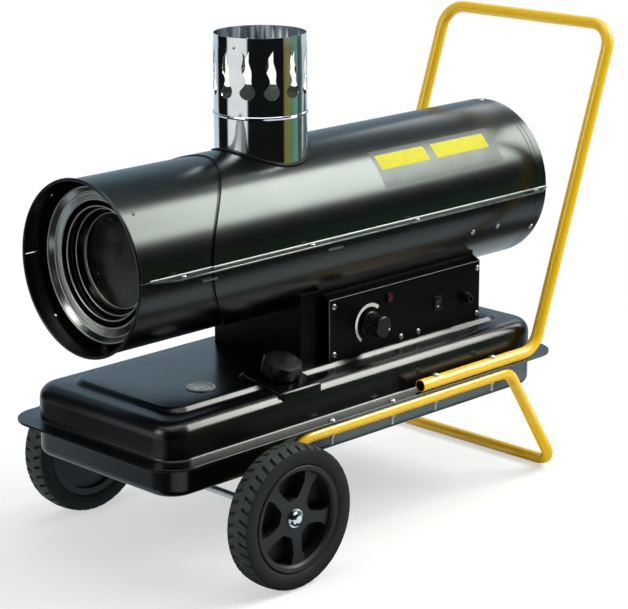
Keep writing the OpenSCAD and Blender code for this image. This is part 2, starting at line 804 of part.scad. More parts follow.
module switch_frame() {
  color("#202123") on_panel(switch_place) difference() {
    union() {
      translate([-8.5, -12.5, 0]) cube([17, 25, 2]);
      translate([-6.6, -10.2, -16]) cube([13.2, 20.4, 16]);
    }
    translate([-5.5, -9.2, -11]) cube([11, 18.4, 20]);
    translate([-10, 0, -2]) rotate([0, 90, 0]) cylinder(h = 20, r = 1.5 + running);
  }
}

// Rocker at rest with its lower half pressed in
module switch_rocker() {
  color("#2a2b2d") on_panel(switch_place) translate([0, 0, -2]) rotate([9, 0, 0]) {
    rotate([90, 0, 90]) translate([0, 0, -5.2]) linear_extrude(10.4)
      polygon([[-8, 4.6], [0, 3.2], [8, 4.6], [7.4, -2], [0, -4], [-7.4, -2]]);
    translate([-6.2, 0, 0]) rotate([0, 90, 0]) cylinder(h = 12.4, r = 1.5);
  }
}

module cord_gland() {
  color("#161617") on_panel(gland_place) difference() {
    union() {
      cylinder(h = 5, r = 11, $fn = 6);
      translate([0, 0, 5]) cylinder(h = 9, r1 = 9.2, r2 = 7);
      bar(-9, 0, 7.5);
      translate([0, 0, -5.5]) cylinder(h = 4, r = 11, $fn = 6);
    }
    translate([0, 0, -12]) cylinder(h = 30, r = 4);
  }
}

// Board on four posts that stand on the pedestal's foot and the tank top
module circuit_board() {
  color("#2f6b45") translate([at(455), -86, plateau_z]) {
    for (x = [24, 96], y = [6, 58]) translate([x, y, y < 10 ? 1.5 : 0]) cylinder(h = y < 10 ? 10.5 : 12, r = 3);
    translate([0, 0, 12]) cube([110, 66, 1.6]);
    translate([12, 10, 13.6]) cube([20, 16, 15]);
    translate([40, 10, 13.6]) cube([28, 22, 18]);
    translate([78, 12, 13.6]) cube([22, 40, 10]);
    for (x = [16, 30]) translate([x, 46, 13.6]) cylinder(h = 20, r = 6);
  }
}

module ignition_transformer() {
  color("#33363a") translate([at(640), 16, plateau_z]) {
    cube([84, 62, 44]);
    for (y = [20, 42]) translate([0, y, 30]) rotate([0, -90, 0]) cylinder(h = 16, r = 5);
  }
}

// Tank

// A pressed pan: four rounded corner posts joined, from a flat face at z0 to a rounded edge at z1
module pressed_pan(l, w, r, z0, z1, edge) {
  s = sign(z1 - z0);
  arc = [for (a = [0:15:90]) [r - edge + edge * cos(a), z1 - s * edge + s * edge * sin(a)]];
  hull() for (x = [-1, 1], y = [-1, 1])
    translate([at(tank_mid_u) + x * (l / 2 - r), y * (w / 2 - r), 0])
      rotate_extrude($fn = 40) polygon(concat([[0, z0], [r, z0]], arc, [[0, z1]]));
}

module tank_flange(z) {
  hl = tank_l / 2 + flange_w;
  hw = tank_w / 2 + flange_w;
  r = flange_corner_r;
  translate([at(tank_mid_u), 0, z]) {
    translate([-hl, r - hw, 0]) cube([2 * hl, 2 * (hw - r), tank_sheet]);
    translate([r - hl, -hw, 0]) cube([2 * (hl - r), 2 * hw, tank_sheet]);
    for (x = [-1, 1], y = [-1, 1]) translate([x * (hl - r), y * (hw - r), 0]) cylinder(h = tank_sheet, r = r);
  }
}

module bolt_holes() {
  for (u = bolt_u, s = [-1, 1]) translate([at(u), s * tube_y, 180]) cylinder(h = 80, r = bolt_hole_r);
}

// Inclined seat for the filler, from the side wall up to just above the plateau
module filler_boss(inset, drop) {
  inner_y = boss_edge_y + 92;
  inner_z = boss_edge_z + 92 * tan(filler_lean);
  translate([at(filler_u) - boss_l / 2 + inset, 0, -drop]) rotate([90, 0, 90]) linear_extrude(boss_l - 2 * inset)
    polygon([[boss_edge_y + inset, tank_top - 16], [boss_edge_y + inset, boss_edge_z], [inner_y, inner_z],
      [inner_y + 12, plateau_z - 1], [inner_y + 12, tank_top - 16]]);
}

module tank_upper() {
  t = tank_sheet;
  pl = tank_l - 2 * border;
  pw = tank_w - 2 * border;
  color("#111214") difference() {
    union() {
      pressed_pan(tank_l, tank_w, corner_r, tank_split, tank_top, edge_r);
      pressed_pan(pl + 8, pw + 8, plateau_corner_r + 4, tank_top - 6, plateau_z, plateau - 1);
      tank_flange(tank_split);
      filler_boss(0, 0);
    }
    pressed_pan(tank_l - 2 * t, tank_w - 2 * t, corner_r - t, tank_split - 1, tank_top - t, edge_r - t);
    pressed_pan(pl + 8 - 2 * t, pw + 8 - 2 * t, plateau_corner_r + 2, tank_top - 8, plateau_z - t, plateau - 3);
    filler_boss(t, t + 0.6);
    bolt_holes();
    on_filler() translate([0, 0, -30]) cylinder(h = 60, r = neck_r);
    on_gauge() translate([0, 0, tank_top - 20]) cylinder(h = 60, r = gauge_r - 2.7);
    translate([rim(pickup_d), pickup_y, tank_top - 20]) cylinder(h = 60, r = 3.2);
  }
}

module tank_lower() {
  t = tank_sheet;
  color("#141517") difference() {
    union() {
      pressed_pan(tank_l, tank_w, corner_r, tank_split, tank_bottom, edge_r - 2);
      tank_flange(tank_split - t);
    }
    pressed_pan(tank_l - 2 * t, tank_w - 2 * t, corner_r - t, tank_split + 1, tank_bottom + t, edge_r - 2 - t);
    bolt_holes();
    translate([at(120), 0, tank_bottom - 20]) cylinder(h = 60, r = 8);
  }
}

module filler_neck() color("#1c1d1f") on_filler() pipe(-12, neck_top, neck_r, neck_r - 1.5);

// Cup that hangs in the neck by its rim
module filler_strainer() {
  cup_r = neck_r - 2;
  color("#c9b36a") on_filler() {
    pipe(-44, neck_top + 1, cup_r, cup_r - 1);
    bar(-45, -44, cup_r);
    pipe(neck_top, neck_top + 1, neck_r, cup_r - 1);
  }
}

module cap_gasket() color("#222222") on_filler() pipe(neck_top + 1, neck_top + 3, neck_r + 1, neck_r - 3);

// Cap with eight lobes and hollows between them for the fingers
module fuel_cap() {
  lobes = 8;
  color("#161718") on_filler() difference() {
    rotate_extrude()
      polygon([[0, 7], [cap_r - 1, 7], [cap_r, 8.5], [cap_r, 24], [cap_r - 2.5, 27.5], [cap_r - 10, 28.8],
        [0, 29.5]]);
    for (i = [0:lobes - 1]) rotate(i * 360 / lobes) translate([cap_r + 19.5, 0, 0]) cylinder(h = 60, r = 24);
    bar(0, neck_top + 3, neck_r + 1.4);
  }
}

// Dial housing let into the tank's top, with the float's cage below it
module gauge_body() {
  color("#2b2d2f") on_gauge() difference() {
    union() {
      bar(plateau_z, plateau_z + 2, gauge_r);
      bar(plateau_z - 5, plateau_z, gauge_r - 3);
      bar(plateau_z - 16, plateau_z - 5, 14.8);
      for (s = [-1, 1]) translate([s * 9, 0, 0]) bar(float_z - 6, plateau_z - 15, 1.5);
      bar(float_z - 6, float_z - 4, 12);
    }
    bar(plateau_z - 3.4, plateau_z + 3, 17);
    bar(plateau_z + 0.2, plateau_z + 3, gauge_r - 4);
    bar(plateau_z - 20, plateau_z + 6, 2 + running);
    bar(float_z - 8, float_z - 3, 3.5);
  }
}

module gauge_lens() {
  lens_r = gauge_r - 4.1;
  color("#dfe8ee") on_gauge() rotate_extrude()
    polygon([[0, plateau_z + 0.2], [lens_r, plateau_z + 0.2], [lens_r, plateau_z + 2],
      [lens_r - 2.5, plateau_z + 2.5], [0, plateau_z + 3]]);
}

// Pointer on a spindle, which runs down into a twisted strip
module gauge_pointer() {
  color("#d8402c") on_gauge() {
    bar(plateau_z - 18, plateau_z - 1.6, 2, $fn = 24);
    translate([-3, -1.4, plateau_z - 2.6]) cube([17, 2.8, 1]);
    translate([0, 0, strip_z]) linear_extrude(strip_l, twist = strip_twist, slices = 36, $fn = 8)
      square([5, 1], center = true);
  }
}

// Float on two guide rods; the slot in its floor turns the twisted strip
module gauge_float() {
  floor_t = 1.2;
  slot_turn = -strip_twist * (float_z + floor_t / 2 - strip_z) / strip_l;
  color("#c98d4a") on_gauge() difference() {
    bar(float_z, float_z + 14, 13);
    bar(float_z + floor_t, float_z + 15, 3.4);
    translate([0, 0, float_z]) rotate(slot_turn) cube([6.2, 2.4, 6], center = true);
    for (s = [-1, 1]) translate([s * 9, 0, 0]) bar(float_z - 1, float_z + 15, 1.9);
  }
}

// Suction pipe through the tank top, with its filter near the tank's floor
module fuel_pickup() {
  color("#b8733a") translate([rim(pickup_d), pickup_y, 0]) {
    bar(tank_bottom + 24, plateau_z + 18, 3);
    bar(plateau_z, plateau_z + 4, 11);
    bar(tank_bottom + 8, tank_bottom + 26, 9);
  }
}

module drain_plug() {
  color("#a8abad") translate([at(120), 0, 0]) {
    translate([0, 0, tank_bottom - 8]) cylinder(h = 8, r = 11, $fn = 6);
    bar(tank_bottom, tank_bottom + 8, 8);
  }
}

// Trolley

module handle_tube() {
  low = setback(handle_bend, handle_slope);
  foot = [at(handle_foot_u) - low, -tube_y, handle_run_z];
  rise = (handle_z - handle_run_z) / sin(handle_slope) - low - handle_bend;
  crown = bend_end(foot, 0, handle_slope, handle_bend) + rise * along(handle_slope);
  color("#f0bd1c") difference() {
    frame_tube(concat([ring([at(handle_end_u), -tube_y, handle_run_z], 0)],
      bend_rings(foot, 0, handle_slope, handle_bend), cross_rings(crown, handle_slope, handle_bend)),
      handle_tube_r, handle_tube_r - tube_wall);
    bolt_holes();
  }
}

module leg_tube() {
  past_axle = 14;
  drop = leg_run_z - wheel_r;
  start = [at(axle_u), -tube_y, wheel_r] - past_axle * along(leg_front_slope);
  climb = past_axle + drop / sin(leg_front_slope) - setback(leg_bend, leg_front_slope);
  front = start + climb * along(leg_front_slope);
  knee = [at(leg_knee_u) - setback(leg_bend, leg_slope), -tube_y, leg_run_z];
  fall = (leg_run_z - leg_tube_r) / sin(leg_slope) - setback(leg_bend, leg_slope) - leg_bend;
  floor_turn = bend_end(knee, 0, -leg_slope, leg_bend) + fall * along(-leg_slope);
  color("#f0bd1c") difference() {
    frame_tube(concat([ring(start, leg_front_slope)], bend_rings(front, leg_front_slope, -leg_front_slope, leg_bend),
      bend_rings(knee, 0, -leg_slope, leg_bend), cross_rings(floor_turn, -leg_slope, leg_bend)),
      leg_tube_r, leg_tube_r - tube_wall);
    bolt_holes();
    on_wheel(-1) bar(-300, 300, axle_r);
  }
}

// Bolts through the flange and the tubes, with long free threads
module flange_bolts() {
  thread_end = leg_run_z - leg_tube_r - 15;
  color("#c4c7ca") for (u = bolt_u, s = [-1, 1]) {
    seat = u > handle_end_u ? handle_run_z + handle_tube_r : flange_top;
    translate([at(u), s * tube_y, 0]) {
      bar(thread_end, seat + 1, bolt_r);
      translate([0, 0, seat]) rotate_extrude()
        polygon([[0, 0], [5.8, 0], [5.5, 1.6], [4, 3.3], [1.6, 4.1], [0, 4.2]]);
    }
  }
}

module flange_nuts() {
  top = leg_run_z - leg_tube_r;
  color("#c4c7ca") for (u = bolt_u, s = [-1, 1]) translate([at(u), s * tube_y, 0]) difference() {
    translate([0, 0, top - 2.7]) cylinder(h = 2.7, r = 4.6, $fn = 6);
    bar(top - 6, top + 1, bolt_r);
  }
}

module axle() color("#aeb1b4") on_wheel(-1) bar(-hub_out - 6, hub_out + 6, axle_r);

// Tubes that hold the wheels off the leg tube
module axle_spacers() {
  color("#9a9da0") for (s = [-1, 1]) on_wheel(s) pipe(tube_y + leg_tube_r + 0.2, hub_in - 0.3, axle_r + 3.5, axle_r);
}

// Washer and domed push nut on each end of the axle
module axle_caps() {
  color("#d5d8da") for (s = [-1, 1]) on_wheel(s) difference() {
    union() {
      bar(hub_out + 0.3, hub_out + 1.8, 15);
      translate([0, 0, hub_out + 1.8]) rotate_extrude()
        polygon([[0, 0], [12.5, 0], [12.5, 2.5], [10.5, 5.5], [6, 7.5], [0, 8]]);
    }
    bar(hub_out - 5, hub_out + 6, axle_r);
  }
}

// Moulded rim: hub, seat of the tyre, and five flared spokes standing on a closed web
module rim_form() {
  spokes = 5;
  web_y = wheel_y + 11;
  web = 3;
  opening_r = 75;
  spoke = [[22, -14], [36, -9.5], [58, -9], [78, -17], [78, 17], [58, 9], [36, 9.5], [22, 14]];
  color("#2c2e2f") difference() {
    union() {
      rotate_extrude()
        polygon([[opening_r, wheel_y + 4], [rim_r, wheel_y + 4], [rim_r, wheel_out - 3], [rim_r - 2, wheel_out - 2],
          [opening_r + 3, wheel_out - 4], [opening_r, wheel_out - 8]]);
      bar(hub_in, hub_out, 19);
      bar(web_y, web_y + web, opening_r + 2);
      bar(web_y, hub_out, 31);
      for (i = [0:spokes - 1]) rotate(60 + i * 360 / spokes) translate([0, 0, web_y])
        linear_extrude(hub_out - web_y) polygon(spoke);
    }
    bar(hub_in - 5, hub_out + 5, axle_r + running);
  }
}

// Solid tyre with two staggered rows of slanted notches across the tread
module tyre_form() {
  shoulder = 7;
  notch_w = 3.5;
  notch_l = 14;
  color("#3b3f3c") difference() {
    rotate_extrude()
      polygon([[rim_r, wheel_y + 5], [wheel_r - 16, wheel_y], [wheel_r - shoulder, wheel_y + 1],
        [wheel_r - 1.5, wheel_y + shoulder], [wheel_r, wheel_y + wheel_w * 0.4], [wheel_r, wheel_y + wheel_w * 0.6],
        [wheel_r - 1.5, wheel_out - shoulder], [wheel_r - shoulder, wheel_out - 1], [wheel_r - 16, wheel_out],
        [rim_r, wheel_out - 3]]);
    for (row = [-1, 1], i = [0:notch_count - 1])
      rotate((i + row / 4) * 360 / notch_count)
        translate([wheel_r - notch_depth, 0, wheel_y + wheel_w / 2 + row * 11.5]) rotate([row * 20, 0, 0])
          translate([0, -notch_w / 2, -notch_l / 2]) cube([10, notch_w, notch_l]);
  }
}

module rim_near() on_wheel(-1) rim_form();
module rim_far() on_wheel(1) rim_form();
module tyre_near() on_wheel(-1) tyre_form();
module tyre_far() on_wheel(1) tyre_form();

front_upper_shell();
front_lower_shell();
rear_upper_shell();
rear_lower_shell();
shell_screws();
outlet_ring();
drum();
drum_brackets();
combustion_chamber();
burner_head();
fuel_nozzle();
igniter_electrodes();
fan();
motor_shaft();
motor();
motor_bracket();
air_pump();
pump_filter();
air_hose();
fuel_line();
rear_guard();
flue_stub();
flue_sleeve();
flue_gasket();
pedestal();
pedestal_screws();
control_cover();
cover_screws();
thermostat_body();
thermostat_spindle();
thermostat_knob();
indicator_lamp();
switch_frame();
switch_rocker();
cord_gland();
circuit_board();
ignition_transformer();
tank_upper();
tank_lower();
filler_neck();
filler_strainer();
cap_gasket();
fuel_cap();
gauge_body();
gauge_lens();
gauge_pointer();
gauge_float();
fuel_pickup();
drain_plug();
handle_tube();
leg_tube();
flange_bolts();
flange_nuts();
axle();
axle_spacers();
axle_caps();
rim_near();
rim_far();
tyre_near();
tyre_far();
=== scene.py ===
"""Looks of a forced-air kerosene heater: barrel, flue, tank, control panel and trolley."""

import math

import bmesh
import bpy
from mathutils import Matrix, Vector


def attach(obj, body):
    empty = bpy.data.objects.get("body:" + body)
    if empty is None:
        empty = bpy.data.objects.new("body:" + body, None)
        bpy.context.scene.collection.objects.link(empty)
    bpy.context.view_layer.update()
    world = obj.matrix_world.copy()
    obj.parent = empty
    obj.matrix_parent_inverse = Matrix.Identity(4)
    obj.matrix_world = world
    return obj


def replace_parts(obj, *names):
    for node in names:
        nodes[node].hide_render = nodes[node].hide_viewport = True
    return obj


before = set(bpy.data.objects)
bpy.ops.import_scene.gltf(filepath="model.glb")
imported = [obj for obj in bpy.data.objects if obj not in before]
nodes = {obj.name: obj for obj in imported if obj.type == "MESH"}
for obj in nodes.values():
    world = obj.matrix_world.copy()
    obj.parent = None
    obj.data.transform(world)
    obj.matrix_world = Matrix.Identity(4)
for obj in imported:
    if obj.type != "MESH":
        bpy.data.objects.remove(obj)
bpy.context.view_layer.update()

# Sizes in millimetres, in the same frame as the solids. A name that ends in _U is measured back from the front edge of
# the tank's flange, and one that ends in _D back from the barrel's front rim.
MM = 0.001
LENGTH = 1059.672

# Barrel, outlet and flue.
BARREL_RIM_U = 5.0
BARREL_Z = 500.0
BARREL_R = 138.0
FRONT_SHELL_R = 136.3
LAP_D = 148.0
LAP_BOW = 108.0
SEAM_EDGE_Y = 156.0
SEAM_SCREW_Y = 148.0
RING_R = 121.5
RING_FRONT_D = 36.0
THROAT_R = 99.0
THROAT_FRONT_D = 46.0
DRUM_R = 90.0
DRUM_DISC_D = 75.0
FLUE_U = 386.0
FLUE_R = 75.0
FLUE_RIVET_Z = 803.0
STUB_R = (73.7, 72.5)
STUB_Z = (580.0, 692.0)

# Control cover.
PANEL_Y = -118.0
PANEL_FRONT_U = 423.8
PANEL_BACK_U = 792.4
PANEL_FOOT_Z = 289.0
PANEL_TOP_Z = 390.8
KNOB_PLACE = (518.0, 334.0)
DIAL_R = 34.5

# Tank.
TANK_MID_U = 462.0
TANK_HALF = (433.0, 170.0)
TANK_CORNER_R = 45.0
TANK_SPLIT = 219.5
FLANGE_OUT = 29.0
FLANGE_CORNER_R = 56.0
SHEET = 2.0
PLATEAU_Z = 287.0
GAUGE_PLACE = (187.0, -67.0)
# Where the painted reflection on the lower pressing's sides fades in, along X.
PAINTED_REFLECTION_X = (-200.0, -120.0)

# Trolley.
AXLE_U = 205.0
WHEEL_R = 115.0
WHEEL_IN = 223.0
WHEEL_OUT = 270.0
TREAD_FOOT_R = (111.5, 112.8)
NOTCH_FLOOR_R = 110.8
TUBE_Y = -191.0
TUBE_WALL = 1.5
HANDLE_R = 10.5
HANDLE_Z = 232.0
HANDLE_TOP_Z = 777.5
HANDLE_BEND_U = 856.0
LEG_R = 10.0
LEG_Z = 207.5
LEG_BEND_U = 789.0


def at(u):
    """X of a place measured back from the front edge of the tank's flange."""
    return u - LENGTH / 2


def rim(d):
    """X of a place measured back from the barrel's front rim."""
    return at(BARREL_RIM_U + d)


# Node and colour helpers.


def srgb(hex_colour):
    """A hex colour as linear RGBA."""
    parts = [int(hex_colour[i : i + 2], 16) / 255 for i in (1, 3, 5)]
    linear = [c / 12.92 if c <= 0.04045 else ((c + 0.055) / 1.055) ** 2.4 for c in parts]
    return (*linear, 1.0)


def add(tree, kind, inputs=None, **settings):
    """Adds a node: settings are its own properties, inputs are values or sockets to link."""
    node = tree.nodes.new(kind)
    for name, value in settings.items():
        setattr(node, name, value)
    for name, value in (inputs or {}).items():
        if isinstance(value, bpy.types.NodeSocket):
            tree.links.new(value, node.inputs[name])
        else:
            node.inputs[name].default_value = value
    return node


def feed(node, socket, source):
    """Links a result to a node's input, in place of what fed it before."""
    node.id_data.links.new(source, node.inputs[socket])


def fed(node, socket):
    """The result that feeds a node's input."""
    return node.inputs[socket].links[0].from_socket


def calc(tree, operation, *values):
    """The result of a sum on numbers or sockets."""
    return add(tree, "ShaderNodeMath", dict(enumerate(values)), operation=operation).outputs[0]


def vector_calc(tree, operation, *values):
    """The result of a sum on vectors or sockets: a number for a length or a dot product."""
    node = add(tree, "ShaderNodeVectorMath", dict(enumerate(values)), operation=operation)
    return node.outputs["Value" if operation in ("LENGTH", "DOT_PRODUCT") else "Vector"]


def split(tree, vector):
    """The three coordinates of a vector."""
    return tuple(add(tree, "ShaderNodeSeparateXYZ", {"Vector": vector}).outputs)


def remap(tree, value, low, high, first=0.0, last=1.0, curve="LINEAR"):
    """Turns low into first and high into last, and holds them beyond."""
    limits = {"Value": value, "From Min": low, "From Max": high, "To Min": first, "To Max": last}
    return add(tree, "ShaderNodeMapRange", limits, interpolation_type=curve).outputs["Result"]


def blend(tree, share, first, second):
    """The first colour where the share is 0, the second where it is 1, by the mix node's colour sockets."""
    return add(tree, "ShaderNodeMix", {"Factor": share, 6: first, 7: second}, data_type="RGBA").outputs[2]


def from_axis(tree, place, point, across):
    """The way to a place from an axis through a point; across marks the two directions that count."""
    return vector_calc(tree, "MULTIPLY", vector_calc(tree, "SUBTRACT", place, [c * MM for c in point]), across)


def per_mm(size):
    """Texture scale, in metres, for a feature of this size in millimetres."""
    return 1000.0 / size


def surface(name, tones, grit, grit_depth, patch, rough, edge=0.0, **sockets):
    """A material whose colour and roughness wander between two values, patch by patch, over a bump of fine grit.

    Sizes are in millimetres; edge softens the corners. The sockets are constants of the shader. Returns the material,
    its tree, its shader and the object's coordinates.
    """
    material = bpy.data.materials.new(name)
    material.use_nodes = True
    tree = material.node_tree
    shader = tree.nodes["Principled BSDF"]
    for socket, value in sockets.items():
        shader.inputs[socket.replace("_", " ")].default_value = value
    place = add(tree, "ShaderNodeTexCoord").outputs["Object"]
    clouds = {"Vector": place, "Scale": per_mm(patch), "Detail": 4.0, "Roughness": 0.6}
    clouds = add(tree, "ShaderNodeTexNoise", clouds).outputs["Fac"]
    tint = add(tree, "ShaderNodeValToRGB", {"Fac": clouds})
    for stop, position, tone in zip(tint.color_ramp.elements, (0.3, 0.72), tones):
        stop.position = position
        stop.color = srgb(tone)
    feed(shader, "Base Color", tint.outputs["Color"])
    feed(shader, "Roughness", remap(tree, clouds, 0.3, 0.7, *rough))
    grain = add(tree, "ShaderNodeTexNoise", {"Vector": place, "Scale": per_mm(grit), "Detail": 2.0}).outputs["Fac"]
    bump = add(tree, "ShaderNodeBump", {"Height": grain, "Strength": 0.35, "Distance": grit_depth * MM})
    if edge:
        feed(bump, "Normal", add(tree, "ShaderNodeBevel", {"Radius": edge * MM}, samples=6).outputs["Normal"])
    feed(shader, "Normal", bump.outputs["Normal"])
    return material, tree, shader, place


def plain(*look, **sockets):
    """A surface that needs nothing more: returns its material."""
    return surface(*look, **sockets)[0]


# Materials, each named for what the real surface is, or for the painted light that it carries.

# Stove enamel sprayed on rolled sheet: deep black, one broad soft highlight with a cool tint, faint orange peel.
COOL_GLOSS = (0.86, 1, 0.97, 1)
NO_GLOSS = (0, 0, 0, 1)
barrel_enamel, tree, shader, place = surface(
    "satin black stove enamel", ("#040505", "#070808"), 3.0, 0.01, 90, (0.22, 0.25), IOR=1.47
)
# Painted shadow at the lap of the front and rear sheets: reflection tinted black in a strip bowing back at top and
# bottom.
x, _, z = split(tree, place)
rise = calc(tree, "POWER", calc(tree, "SUBTRACT", z, BARREL_Z * MM), 2.0)
joint = calc(tree, "MULTIPLY_ADD", rise, LAP_BOW * MM / (BARREL_R * MM) ** 2, rim(LAP_D - 2.0) * MM)
gap = calc(tree, "ABSOLUTE", calc(tree, "SUBTRACT", x, joint))
lap_painted_shadow = remap(tree, gap, 1.8 * MM, 3.6 * MM, 1.0, 0.0, "SMOOTHSTEP")
feed(shader, "Specular Tint", blend(tree, lap_painted_shadow, COOL_GLOSS, NO_GLOSS))

# Satin steel paler than the parts it sits on, for the rolled beads, the cover's folds and the flue's collar: painted
# highlight lines.
bead_steel_highlight = plain("satin rolled bead", ("#b2b4ab", "#d0d2c8"), 4.0, 0.05, 25, (0.36, 0.48), Metallic=1.0)

# Pale metal on the seam's bend and hem, set on black enamel: thin painted highlight lines along the seam.
seam_highlight_metal = plain("rubbed sheet edge", ("#5f6462", "#838885"), 1.5, 0.03, 30, (0.26, 0.38), Metallic=1.0)

# Enamel on the deep-drawn tank: black, so that its drawn edges carry long highlights, with soft handling marks.
TANK_LOOK = (("#040506", "#070809"), 3.5, 0.01, 70, (0.22, 0.27))
tank_enamel = plain("semi-gloss black tank enamel", *TANK_LOOK, IOR=1.47)

# The lower pressing has the same enamel, with a pale bluish-grey painted reflection along its sides behind the wheels.
enamel_with_painted_reflection, tree, shader, place = surface("black tank enamel with painted reflection", *TANK_LOOK, IOR=1.47)
behind = remap(tree, split(tree, place)[0], PAINTED_REFLECTION_X[0] * MM, PAINTED_REFLECTION_X[1] * MM, curve="SMOOTHSTEP")
facing_y = split(tree, add(tree, "ShaderNodeNewGeometry").outputs["Normal"])[1]
sides = remap(tree, calc(tree, "ABSOLUTE", facing_y), 0.8, 0.95)
painted_reflection = calc(tree, "MULTIPLY", behind, sides)
feed(shader, "Base Color", blend(tree, painted_reflection, fed(shader, "Base Color"), srgb("#59666c")))

# Powder coat on folded sheet: darker and rougher than the barrel, only its folds catch the light.
case_coat = plain(
    "black powder coat on folded sheet",
    *(("#030404", "#060606"), 1.6, 0.03, 60, (0.28, 0.36), 0.9),
    IOR=1.42,
    Specular_IOR_Level=0.15,
)

# Powder coat on bent tube: saturated yellow, glossy, with a faint orange peel.
yellow_coat = plain(
    "glossy yellow powder coat",
    *(("#f6c110", "#fccd20"), 2.5, 0.05, 45, (0.26, 0.34)),
    IOR=1.5,
    Coat_Weight=0.35,
    Coat_Roughness=0.12,
)

# Inside of the frame tubes: bare steel, its colour darkened well below steel's as painted shade in the open ends.
tube_inside = plain("bare steel inside the tubes", ("#17130f", "#2a211a"), 2.0, 0.2, 12, (0.6, 0.8), IOR=1.5)

# Polished chrome plate over thin sheet: mirror bright, with faint wiped smears.
chrome, tree, shader, place = surface(
    "polished chrome plate", ("#d3d8dc", "#e4e8ea"), 14.0, 0.05, 35, (0.045, 0.10), Metallic=1.0
)
# The sleeve's inner side is left as rolled: a little duller, so it scatters light behind the flames.
ROLLED_ROUGH = 0.12
outward = from_axis(tree, place, (at(FLUE_U), 0, 0), (1, 1, 0))
outward = vector_calc(tree, "DOT_PRODUCT", outward, add(tree, "ShaderNodeNewGeometry").outputs["Normal"])
outer = calc(tree, "GREATER_THAN", outward, 0.0)
feed(shader, "Roughness", remap(tree, outer, 0.0, 1.0, ROLLED_ROUGH, fed(shader, "Roughness")))

# Bright rolled stainless sheet: turned rings of fine brushing round the outlet.
stainless, tree, shader, place = surface(
    "bright stainless sheet", ("#8a8d88", "#a9aca6"), 5.0, 0.05, 40, (0.12, 0.20), Metallic=1.0
)
radius = vector_calc(tree, "LENGTH", from_axis(tree, place, (0, 0, BARREL_Z), (0, 1, 1)))
rings = add(tree, "ShaderNodeTexNoise", {"W": radius, "Scale": per_mm(2.0), "Detail": 3.0}, noise_dimensions="1D")
brushing = {"Height": rings.outputs["Fac"], "Strength": 0.6, "Distance": 0.2 * MM, "Normal": fed(shader, "Normal")}
feed(shader, "Normal", add(tree, "ShaderNodeBump", brushing).outputs["Normal"])

# Rolled heat-resisting steel: shiny but dark, slightly brown, with faint smears.
heat_steel = plain("rolled heat-resisting steel", ("#34332d", "#4a4941"), 9.0, 0.05, 40, (0.12, 0.20), Metallic=1.0)

# Bright zinc plate on small steel parts: a cool silver with cloudy patches.
zinc = plain("bright zinc plate", ("#c2c7cb", "#dfe3e6"), 2.0, 0.02, 14, (0.26, 0.40), Metallic=1.0)

# Black passivated zinc on the screws of the pedestal: they hardly show against it.
black_zinc = plain("black passivated zinc", ("#17181a", "#242628"), 2.0, 0.05, 9, (0.28, 0.4), Metallic=1.0)

# Moulded solid rubber: matt, near black on the sides and dusted grey-green on the tread.
tyre_rubber, tree, shader, place = surface(
    "moulded solid rubber", ("#262d28", "#384038"), 2.2, 0.25, 11, (0.60, 0.78), IOR=1.5, Specular_IOR_Level=0.35
)
radius = vector_calc(tree, "LENGTH", from_axis(tree, place, (at(AXLE_U), 0, WHEEL_R), (1, 0, 1)))
tread = remap(tree, radius, TREAD_FOOT_R[0] * MM, TREAD_FOOT_R[1] * MM)
feed(shader, "Base Color", blend(tree, tread, srgb("#171b1b"), fed(shader, "Base Color")))

# Polypropylene wheel centre: dark grey, satin, fine spark-eroded grain.
rim_plastic = plain("satin grey polypropylene", ("#131617", "#1a1d1e"), 1.4, 0.15, 40, (0.42, 0.54), IOR=1.49)

# Moulded nylon and ABS small parts: near black with a fine grain and a low gloss.
black_plastic = plain("moulded black plastic", ("#090a0a", "#0f1010"), 1.2, 0.15, 20, (0.30, 0.42), IOR=1.48)

# Soft rubber of the hose and gaskets: black and matt.
black_rubber = plain(
    "soft black rubber", ("#070707", "#0c0c0c"), 1.6, 0.1, 18, (0.5, 0.65), IOR=1.5, Specular_IOR_Level=0.2
)

# Moulded pale grey plastic: the gauge's rim shows as a thin light ring on the black tank.
pale_plastic = plain("moulded pale grey plastic", ("#8f9695", "#a5abaa"), 1.2, 0.15, 12, (0.35, 0.48), IOR=1.48)

# Polycarbonate lamp lens: deep red and glossy, in a black bezel.
red_lens, tree, shader, place = surface(
    "red polycarbonate lens",
    *(("#330a14", "#4c121e"), 3.0, 0.1, 7, (0.12, 0.2)),
    IOR=1.58,
    Coat_Weight=0.6,
    Coat_Roughness=0.05,
)
bezel = calc(tree, "GREATER_THAN", split(tree, place)[1], (PANEL_Y - 1.6) * MM)
feed(shader, "Base Color", blend(tree, bezel, fed(shader, "Base Color"), srgb("#0b0b0b")))

# Acrylic window over the gauge: clear, with a faint reflection.
clear_lens = plain("clear acrylic window", ("#f2f6f7", "#ffffff"), 8.0, 0.02, 20, (0.02, 0.05), IOR=1.49, Alpha=0.2)

# Turned brass: warm and lightly tarnished.
brass = plain("turned brass", ("#a98436", "#c7a352"), 2.0, 0.08, 12, (0.22, 0.36), Metallic=1.0)

# Drawn copper pipe, slightly dulled.
copper = plain("drawn copper pipe", ("#a0603a", "#c27d52"), 3.0, 0.06, 16, (0.26, 0.42), Metallic=1.0)

# Pressed and die-cast aluminium: pale and satin.
aluminium = plain("pressed aluminium", ("#a6a9ac", "#c3c6c8"), 2.5, 0.1, 25, (0.3, 0.45), Metallic=1.0)

# Grey machine paint on the motor and its bracket: dull and even.
machine_paint = plain("grey machine paint", ("#303336", "#3d4144"), 2.5, 0.12, 35, (0.4, 0.52), IOR=1.5)

# Black paint on welded guard wire: thin, with a low gloss.
guard_paint = plain("black paint on guard wire", ("#141516", "#1e1f20"), 1.8, 0.1, 25, (0.34, 0.46), IOR=1.5)

